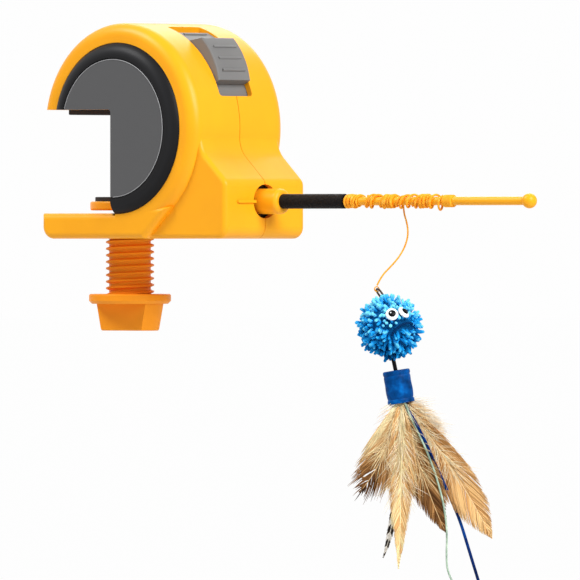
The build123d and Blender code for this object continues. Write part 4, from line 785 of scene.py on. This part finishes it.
def addKnot():
    middle = Vector(eyelet["pos_m"])
    axis = Vector(eyelet["axis"]).normalized()
    bm = bmesh.new()
    for side in (-1, 1):
        lean = Matrix.Rotation(side * knot["tilt"], 3, "Y")
        ring = bmesh.ops.create_circle(bm, segments=knot["sides"], radius=knot["thread"])["verts"]
        for vert in ring:
            vert.co = Vector((knot["radius"] + vert.co.x, 0, vert.co.y))
        edges = [edge for edge in bm.edges if edge.verts[0] in ring and edge.verts[1] in ring]
        bmesh.ops.spin(
            bm, geom=ring + edges, cent=(0, 0, 0), axis=(0, 0, 1), angle=2 * math.pi, steps=knot["steps"],
            use_merge=True,
        )
        fresh = [vert for vert in bm.verts if not vert.tag]
        turn = axis.to_track_quat("Z", "Y").to_matrix()
        for vert in fresh:
            vert.co = middle + turn @ (lean @ vert.co) + axis * side * knot["spread"]
            vert.tag = True
    bmesh.ops.remove_doubles(bm, verts=bm.verts, dist=knot["merge"])
    bmesh.ops.recalc_face_normals(bm, faces=bm.faces)
    piece = fromBmesh("eyeletKnot", bm)
    dress(piece, "string_tan")
    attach(piece, "string_end")
    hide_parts("string_knot")
    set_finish(piece, "string_tan")


addKnot()


# Satin sleeve with turned hems, gathered to the link at the top
sleeve = {
    "top": (-0.0029, -0.0669), "bottom": (-0.0007, -0.0802), "halfWidth": 0.0053, "halfDepth": 0.0047,
    "hem": 0.0020, "proud": 0.00008, "fold": 0.0003, "stitch": 0.0002, "groove": 0.945, "beside": 0.99,
    "gather": (0.2, 0.6, 0.93), "hemSwell": 0.004, "flare": 0.01, "bulge": 0.012, "bodyRings": 10,
    "segments": 56, "thickness": 0.0003, "wrinkle": 0.035, "rippleRound": 2.2, "rippleDown": 300,
}


def sleeveRings(length):
    # Each ring's depth below the top, its share of the girth and its share of the wrinkles
    hem, fold, stitch = sleeve["hem"], sleeve["fold"], sleeve["stitch"]
    groove, beside = sleeve["groove"], sleeve["beside"]
    inner, mouth, rim = sleeve["gather"]
    proud = 1 + sleeve["proud"] / sleeve["halfWidth"]
    yield 2 * stitch, inner, 0
    yield stitch, mouth, 0.4
    yield 0.0, rim, 0.6
    yield fold, proud, 0.6
    yield hem / 2, proud + sleeve["hemSwell"], 0.8
    yield hem - stitch, proud, 0.6
    yield hem, groove, 0.8
    yield hem + fold, beside, 0.8
    count = sleeve["bodyRings"]
    for i in range(1, count):
        yield hem + (length - 2 * hem) * i / count, 1 + sleeve["bulge"] * math.sin(math.pi * i / count), 1.0
    yield length - hem - fold, beside, 0.8
    yield length - hem, groove, 0.8
    yield length - hem + stitch, proud, 0.6
    yield length - hem / 2, proud + sleeve["flare"], 0.8
    yield length - stitch, proud + sleeve["flare"], 0.6


def addSleeve():
    top, bottom = toyPoint(*sleeve["top"]), toyPoint(*sleeve["bottom"])
    down = (bottom - top).normalized()
    side = toyTowards.cross(down)
    bm = bmesh.new()
    ring = bmesh.ops.create_circle(bm, segments=sleeve["segments"], radius=1)["verts"]
    turns = [math.atan2(vert.co.y, vert.co.x) for vert in ring]
    grown = None
    for depth, swell, wrinkles in sleeveRings((bottom - top).length):
        places = []
        for turn in turns:
            x, y = math.cos(turn), math.sin(turn)
            spot = Vector((x, y, 0)) * sleeve["rippleRound"] + up * sleeve["rippleDown"] * depth
            reach = swell * (1 + sleeve["wrinkle"] * wrinkles * noise.noise(spot))
            across = side * sleeve["halfWidth"] * x + toyTowards * sleeve["halfDepth"] * y
            places.append(top + down * depth + across * reach)
        if grown is None:
            grown = ring
            for vert, place in zip(ring, places):
                vert.co = place
        else:
            grown = growRing(bm, grown, places)
    bmesh.ops.recalc_face_normals(bm, faces=bm.faces)
    area = sum(face.calc_area() for face in bm.faces)
    piece = fromBmesh("satinSleeve", bm)
    wall = piece.modifiers.new("cloth", "SOLIDIFY")
    wall.thickness = sleeve["thickness"]
    wall.offset = -1
    soft = piece.modifiers.new("round", "SUBSURF")
    soft.levels = soft.render_levels = 1
    dress(piece, "satin_blue")
    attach(piece, "tail")
    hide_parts("toy_sleeve")
    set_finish(piece, "satin_blue")
    return area


sleeveArea = addSleeve()
print("sleeve made, cloth area", round(sleeveArea * 1e6), "square mm")


# Feathers: a tapered shaft, vanes of overlapping barbs and loose down near the root
featherRoot = (-0.0010, -0.0784)
layerStep = 0.0007
shaft = {"radius": 0.0004, "taper": 0.85, "steps": 14, "sides": 6, "shade": 0.75}
barb = {"segments": 4, "thickness": 0.00005, "taper": 0.85}
vane = {
    "bare": 0.05, "midDeep": 0.7,  # shares of the shaft and of the bend in depth
    "swell": 0.7,  # power by which the width grows from the root
    "clumpAlong": 26, "clumpSide": 7.3, "clumpSeed": 3.1, "clumpWidth": 0.16, "clumpShade": 0.3,
    "widthVary": (-0.1, 0.05), "looseWidth": 2, "firmTip": 0.6,
    "raggedFrom": 0.6, "raggedCut": 1.6, "raggedShift": (-0.3, 0.25),
    "wave": 0.5, "lowestFoot": 0.01, "depthVary": 0.0005, "looseDepth": 4, "cup": 0.02,
    "bowOut": 0.6, "bowAlong": 0.38, "shadeVary": 0.1, "barShade": 0.45, "barEdge": 0.1, "paleEnd": 0.08,
}
downStrand = {
    "upTo": 0.5, "crowd": 1.1, "spread": 62, "lengthVary": (0.45, 1.1), "bow": 0.5, "bendSway": 0.12,
    "endSway": 0.2, "sink": 0.15, "depthVary": (-0.25, 0.3),
    "width": 0.00016, "shade": (0.5, 1.0), "paleEnd": 0.1,
}
feathers = {
    "feather_barred": {
        "left": (-0.0046, -0.118), "tip": (-0.0080, -0.1415), "right": (-0.0014, -0.117), "layer": -3,
        "slot": "feather_grey", "seed": 1, "deep": -0.0045, "barbs": 130, "width": 0.0006,
        "half": 0.0014, "sides": (1, 1), "full": 0.3, "taper": 0.7, "point": 1.6, "steep": 26,
        "loose": 0.1, "clumps": 9, "shade": (0.35, 0.5), "fade": 1.0, "bars": 9, "down": 0, "downReach": 0.0,
    },
    "feather_down": {
        "left": (0.0076, -0.0896), "tip": (0.0174, -0.0990), "right": (0.0116, -0.0895), "layer": -2,
        "slot": "feather_cream", "seed": 2, "deep": -0.0045, "barbs": 110, "width": 0.0003,
        "half": 0.0060, "sides": (1, 1), "full": 0.4, "taper": 0.5, "point": 1.6, "steep": 38,
        "loose": 1.0, "clumps": 8, "shade": (0.3, 0.8), "fade": 1.0, "bars": 0,
        "down": 780, "downReach": 0.0110,
    },
    "feather_right": {
        "left": (0.0138, -0.112), "tip": (0.0352, -0.1338), "right": (0.0262, -0.1025), "layer": 0,
        "slot": "feather_tan", "seed": 3, "deep": -0.005, "barbs": 300, "width": 0.0006,
        "half": 0.0078, "sides": (0.8, 1.05), "full": 0.5, "taper": 0.62, "point": 2.0, "steep": 18,
        "loose": 0.25, "clumps": 9, "shade": (0.1, 0.48), "fade": 1.0, "bars": 0,
        "down": 460, "downReach": 0.0110,
    },
    "feather_middle": {
        "left": (0.0026, -0.110), "tip": (0.0168, -0.1312), "right": (0.0126, -0.106), "layer": 1,
        "slot": "feather_brown", "seed": 4, "deep": 0.002, "barbs": 270, "width": 0.0006,
        "half": 0.0062, "sides": (1, 1), "full": 0.45, "taper": 0.6, "point": 1.7, "steep": 18,
        "loose": 0.4, "clumps": 8, "shade": (0.52, 0.2), "fade": 0.8, "bars": 0,
        "down": 360, "downReach": 0.0110,
    },
    "feather_left": {
        "left": (-0.0116, -0.0975), "tip": (-0.0174, -0.1152), "right": (-0.0046, -0.1035), "layer": 2,
        "slot": "feather_brown", "seed": 5, "deep": 0.0045, "barbs": 280, "width": 0.0005,
        "half": 0.0062, "sides": (1.25, 1.2), "full": 0.55, "taper": 0.86, "point": 2.6, "steep": 20,
        "loose": 1.0, "clumps": 5, "shade": (0.95, 0.0), "fade": 3.0, "bars": 0,
        "ragged": 1.0, "down": 460, "downReach": 0.0100,
    },
    "feather_long": {
        "left": (-0.0052, -0.115), "tip": (-0.0020, -0.1455), "right": (0.0032, -0.114), "layer": 3,
        "slot": "feather_pale", "seed": 6, "deep": 0.0055, "barbs": 300, "width": 0.0005,
        "half": 0.0064, "sides": (1, 1), "full": 0.4, "taper": 0.42, "point": 0.9, "steep": 20,
        "loose": 0.6, "clumps": 8, "shade": (0.12, 0.5), "fade": 1.0, "bars": 0,
        "down": 520, "downReach": 0.0105,
    },
}


def bowed(a, b, c, t):
    return (1 - t) ** 2 * a + 2 * t * (1 - t) * b + t * t * c


def headingAt(line, t, before, after):
    return (line(min(1, t + after)) - line(t - before)).normalized()


def vaneHalf(look, t):
    close = max(0, (t - look["taper"]) / (1 - look["taper"])) ** look["point"]
    return look["half"] * min(1, t / look["full"]) ** vane["swell"] * (1 - min(1, close))


def addBarb(bm, layer, start, bend, end, width, tone, paleEnd):
    # A narrow strip along a bowed line, slim at its end
    strip = bmesh.ops.create_grid(bm, x_segments=1, y_segments=barb["segments"], size=0.5)["verts"]
    for vert in strip:
        along = vert.co.y + 0.5
        side = vert.co.x
        slim = width * (1 - barb["taper"] * along ** 3)
        heading = (1 - along) * (bend - start) + along * (end - bend)
        flat = heading.cross(toyTowards).normalized()
        vert.co = bowed(start, bend, end, along) + flat * side * slim
        vert[layer] = min(1, max(0, tone + paleEnd * along))


def addShaft(bm, layer, line):
    count = shaft["steps"]
    ring = bmesh.ops.create_circle(bm, cap_ends=True, segments=shaft["sides"], radius=1)["verts"]
    turns = [math.atan2(vert.co.y, vert.co.x) for vert in ring]
    for i in range(count + 1):
        ahead = (line(min(i + 1, count) / count) - line(max(i - 1, 0) / count)).normalized()
        side = ahead.cross(toyTowards)
        radius = shaft["radius"] * (1 - shaft["taper"] * i / count)
        places = [line(i / count) + (side * math.cos(a) + toyTowards * math.sin(a)) * radius for a in turns]
        if i == 0:
            for vert, spot in zip(ring, places):
                vert.co = spot
        else:
            ring = growRing(bm, ring, places)
        for vert in ring:
            vert[layer] = shaft["shade"]


def addVane(bm, layer, look, line, span):
    low, high = look["shade"]
    for k in range(look["barbs"]):
        reach = vane["bare"] + (1 - vane["bare"]) * (k + random.random()) / look["barbs"]
        for side, share in zip((-1, 1), look["sides"]):
            spot = (vane["clumpAlong"] * reach, vane["clumpSide"] * side, vane["clumpSeed"] * look["seed"])
            clump = noise.noise(Vector(spot))
            loose = look["loose"] * (1 - vane["firmTip"] * reach)
            uneven = random.uniform(*vane["widthVary"]) * (1 + vane["looseWidth"] * loose)
            half = vaneHalf(look, reach) * share * (1 + vane["clumpWidth"] * clump + uneven)
            torn = look.get("ragged", 0) * max(0, reach - vane["raggedFrom"])
            half *= 1 - torn * random.uniform(0, vane["raggedCut"])
            waves = 2 * math.pi * look["clumps"]
            stop = min(1, reach - vane["wave"] * look["loose"] * math.sin(waves * reach + side) / waves)
            run = half / math.tan(math.radians(look["steep"]))
            foot = max(vane["lowestFoot"], reach - run / span)
            start, end = line(foot), line(stop)
            ahead = headingAt(line, foot, before=0.01, after=0.02)
            out = ahead.cross(toyTowards) * side
            end += headingAt(line, stop, before=0.02, after=0.01).cross(toyTowards) * side * half
            rise = random.uniform(-vane["depthVary"], vane["depthVary"]) * (1 + vane["looseDepth"] * loose)
            end += toyTowards * (rise - vane["cup"] * half)
            end += ahead * span * torn * random.uniform(*vane["raggedShift"])
            bend = start + out * half * vane["bowOut"] + ahead * (stop - foot) * span * vane["bowAlong"]
            tone = low + (high - low) * reach ** look["fade"] + vane["clumpShade"] * clump
            tone += random.uniform(-vane["shadeVary"], vane["shadeVary"])
            if look["bars"]:
                pale = math.sin(look["bars"] * 2 * math.pi * reach) > vane["barEdge"]
                tone += vane["barShade"] if pale else -vane["barShade"]
            addBarb(bm, layer, start, bend, end, look["width"], tone, vane["paleEnd"])


def addDown(bm, layer, look, line):
    for _ in range(look["down"]):
        t = downStrand["upTo"] * random.random() ** downStrand["crowd"]
        start = line(t)
        ahead = headingAt(line, t, before=0, after=0.02)
        angle = math.radians(random.uniform(-downStrand["spread"], downStrand["spread"]))
        out = ahead.cross(toyTowards) * math.sin(angle) + ahead * math.cos(angle)
        length = look["downReach"] * random.uniform(*downStrand["lengthVary"])
        sway = Vector([random.uniform(-1, 1) for _ in range(3)])
        bend = start + (out * downStrand["bow"] + sway * downStrand["bendSway"]) * length
        end = start + (out + sway * downStrand["endSway"] - up * downStrand["sink"]) * length
        end += toyTowards * random.uniform(*downStrand["depthVary"]) * length
        tone = random.uniform(*downStrand["shade"])
        addBarb(bm, layer, start, bend, end, downStrand["width"], tone, downStrand["paleEnd"])


def addFeather(name, look):
    random.seed(look["seed"])
    front = look["layer"] * layerStep
    root = toyPoint(*featherRoot, front)
    tip = toyPoint(*look["tip"], front + look["deep"])
    middle = [(a + b) / 2 for a, b in zip(look["left"], look["right"])]
    bend = 2 * toyPoint(*middle, front + vane["midDeep"] * look["deep"]) - (root + tip) / 2

    def line(t):
        return bowed(root, bend, tip, t)

    bm = bmesh.new()
    layer = shadeLayer(bm)
    addShaft(bm, layer, line)
    addVane(bm, layer, look, line, (tip - root).length)
    addDown(bm, layer, look, line)
    piece = fromBmesh(name.split("_")[1] + "Feather", bm)
    wall = piece.modifiers.new("vane", "SOLIDIFY")
    wall.thickness = barb["thickness"]
    wall.offset = 0
    dress(piece, look["slot"])
    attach(piece, "tail")
    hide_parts(name)
    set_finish(piece, look["slot"])


for name, look in feathers.items():
    addFeather(name, look)
print("feathers made:", len(feathers))


# Painted highlight: a fine light line round the disc of each side cover, where its rim edge catches the light
highlightLine = {
    "centre": drumAxis, "radius": 0.02755, "side": 0.02978, "thread": 0.00016,
    "from": 163, "to": -91, "step": -4,  # degrees
}


def addHighlightLine(side):
    points = []
    for angle in range(highlightLine["from"], highlightLine["to"] - 1, highlightLine["step"]):
        turn = math.radians(angle)
        x = highlightLine["centre"][0] + highlightLine["radius"] * math.cos(turn)
        z = highlightLine["centre"][1] + highlightLine["radius"] * math.sin(turn)
        points.append(Vector((x, side * highlightLine["side"], z)))
    piece = cordTube("highlightLineLeft" if side < 0 else "highlightLineRight", points, highlightLine["thread"], 1)
    dress(piece, "highlight_grey")
    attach(piece, "housing")
    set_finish(piece, "grey_plastic")


addHighlightLine(-1)
addHighlightLine(1)


# Dark ring on the socket, behind the front wall: painted shade in the gap round the socket, where the hole's rim
# lies in shadow
holeShade = {"x": 0.0704, "z": rodZ, "inner": 0.00515, "outer": 0.0073, "thickness": 0.0005, "segments": 48}


def addHoleShade():
    bm = bmesh.new()
    ring = bmesh.ops.create_circle(bm, segments=holeShade["segments"], radius=1)["verts"]
    turns = [math.atan2(vert.co.y, vert.co.x) for vert in ring]

    def around(x, radius):
        return [Vector((x, radius * math.cos(a), holeShade["z"] + radius * math.sin(a))) for a in turns]

    for vert, place in zip(ring, around(holeShade["x"], holeShade["inner"])):
        vert.co = place
    growRing(bm, ring, around(holeShade["x"], holeShade["outer"]))
    piece = fromBmesh("socketHoleShade", bm)
    wall = piece.modifiers.new("holeShade", "SOLIDIFY")
    wall.thickness = holeShade["thickness"]
    wall.offset = 0
    # Dark finish of the ring: painted shade in the hole
    dress(piece, "dark_rubber")
    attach(piece, "wand")
    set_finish(piece, "dark_rubber")


addHoleShade()


# Pale floor, white surround and soft studio light
stage = {
    "floorDrop": 0.18, "floorSize": 160.0, "floorColour": (226, 226, 226),
    "nearReach": 0.25, "nearWhite": 0.0, "farReach": 1.2, "farWhite": 0.985,
    "surround": 0.24, "seenSurround": 0.99,
    "lamps": (
        {"name": "keyLamp", "from": (78, 34), "distance": 1.3, "size": 0.8, "power": 19.5},
        {"name": "fillLamp", "from": (-42, 46), "distance": 1.4, "size": 0.6, "power": 12.0},
        {"name": "backLamp", "from": (215, 40), "distance": 1.5, "size": 1.0, "power": 7.0},
    ),
}


def whiteToCamera(tree, plain, white, share):
    # The camera, mirrors and clear pieces see white in place of the plain shader, which lights the object
    path = addNode(tree, "ShaderNodeLightPath")
    seen = addNode(tree, "ShaderNodeMath", operation="MAXIMUM")
    mirrored = addNode(tree, "ShaderNodeMath", operation="MAXIMUM")
    part = addNode(tree, "ShaderNodeMath", operation="MULTIPLY")
    mix = addNode(tree, "ShaderNodeMixShader")
    tree.links.new(path.outputs["Is Camera Ray"], seen.inputs[0])
    tree.links.new(path.outputs["Is Transmission Ray"], seen.inputs[1])
    tree.links.new(seen.outputs[0], mirrored.inputs[0])
    tree.links.new(path.outputs["Is Glossy Ray"], mirrored.inputs[1])
    tree.links.new(mirrored.outputs[0], part.inputs[0])
    if share is None:
        part.inputs[1].default_value = 1.0
    else:
        tree.links.new(share, part.inputs[1])
    tree.links.new(part.outputs[0], mix.inputs["Fac"])
    tree.links.new(plain.outputs[0], mix.inputs[1])
    tree.links.new(white.outputs[0], mix.inputs[2])
    return mix.outputs[0]


def addFloor(low):
    bm = bmesh.new()
    bmesh.ops.create_grid(bm, x_segments=1, y_segments=1, size=stage["floorSize"] / 2)
    for vert in bm.verts:
        vert.co.z = low - stage["floorDrop"]
    floor = fromBmesh("floor", bm, False)
    material, tree, shader = newFinish("floorPaint")
    shader.inputs["Base Color"].default_value = toLinear(stage["floorColour"])
    shader.inputs["Roughness"].default_value = 0.9
    shader.inputs["Specular IOR Level"].default_value = 0.0
    away = addNode(tree, "ShaderNodeVectorMath", operation="LENGTH")
    tree.links.new(placeOf(tree), away.inputs[0])
    share = rangeOf(tree, away.outputs["Value"], stage["nearWhite"], stage["farWhite"])
    share.node.inputs["From Min"].default_value = stage["nearReach"]
    share.node.inputs["From Max"].default_value = stage["farReach"]
    white = addNode(tree, "ShaderNodeEmission", Strength=1.0)
    output = tree.nodes["Material Output"]
    tree.links.new(whiteToCamera(tree, shader, white, share), output.inputs["Surface"])
    floor.data.materials.append(material)


def addStage():
    world = bpy.data.worlds.new("surround")
    scene.world = world
    world.use_nodes = True
    tree = world.node_tree
    plain = tree.nodes["Background"]
    plain.inputs["Color"].default_value = (1, 1, 1, 1)
    plain.inputs["Strength"].default_value = stage["surround"]
    white = addNode(tree, "ShaderNodeBackground", Strength=stage["seenSurround"])
    white.inputs["Color"].default_value = (1, 1, 1, 1)
    tree.links.new(whiteToCamera(tree, plain, white, None), tree.nodes["World Output"].inputs["Surface"])

    low, high = cadBox
    addFloor(low.z)
    middle = (low + high) / 2
    for lamp in stage["lamps"]:
        light = bpy.data.lights.new(lamp["name"], "AREA")
        light.shape = "DISK"
        light.size = lamp["size"]
        light.energy = lamp["power"]
        holder = bpy.data.objects.new(lamp["name"], light)
        scene.collection.objects.link(holder)
        back = lookFrom(*lamp["from"])
        holder.location = middle + back * lamp["distance"]
        holder.rotation_euler = back.to_track_quat("Z", "Y").to_euler()
    scene.view_settings.view_transform = "Standard"


addStage()
print("stage set")
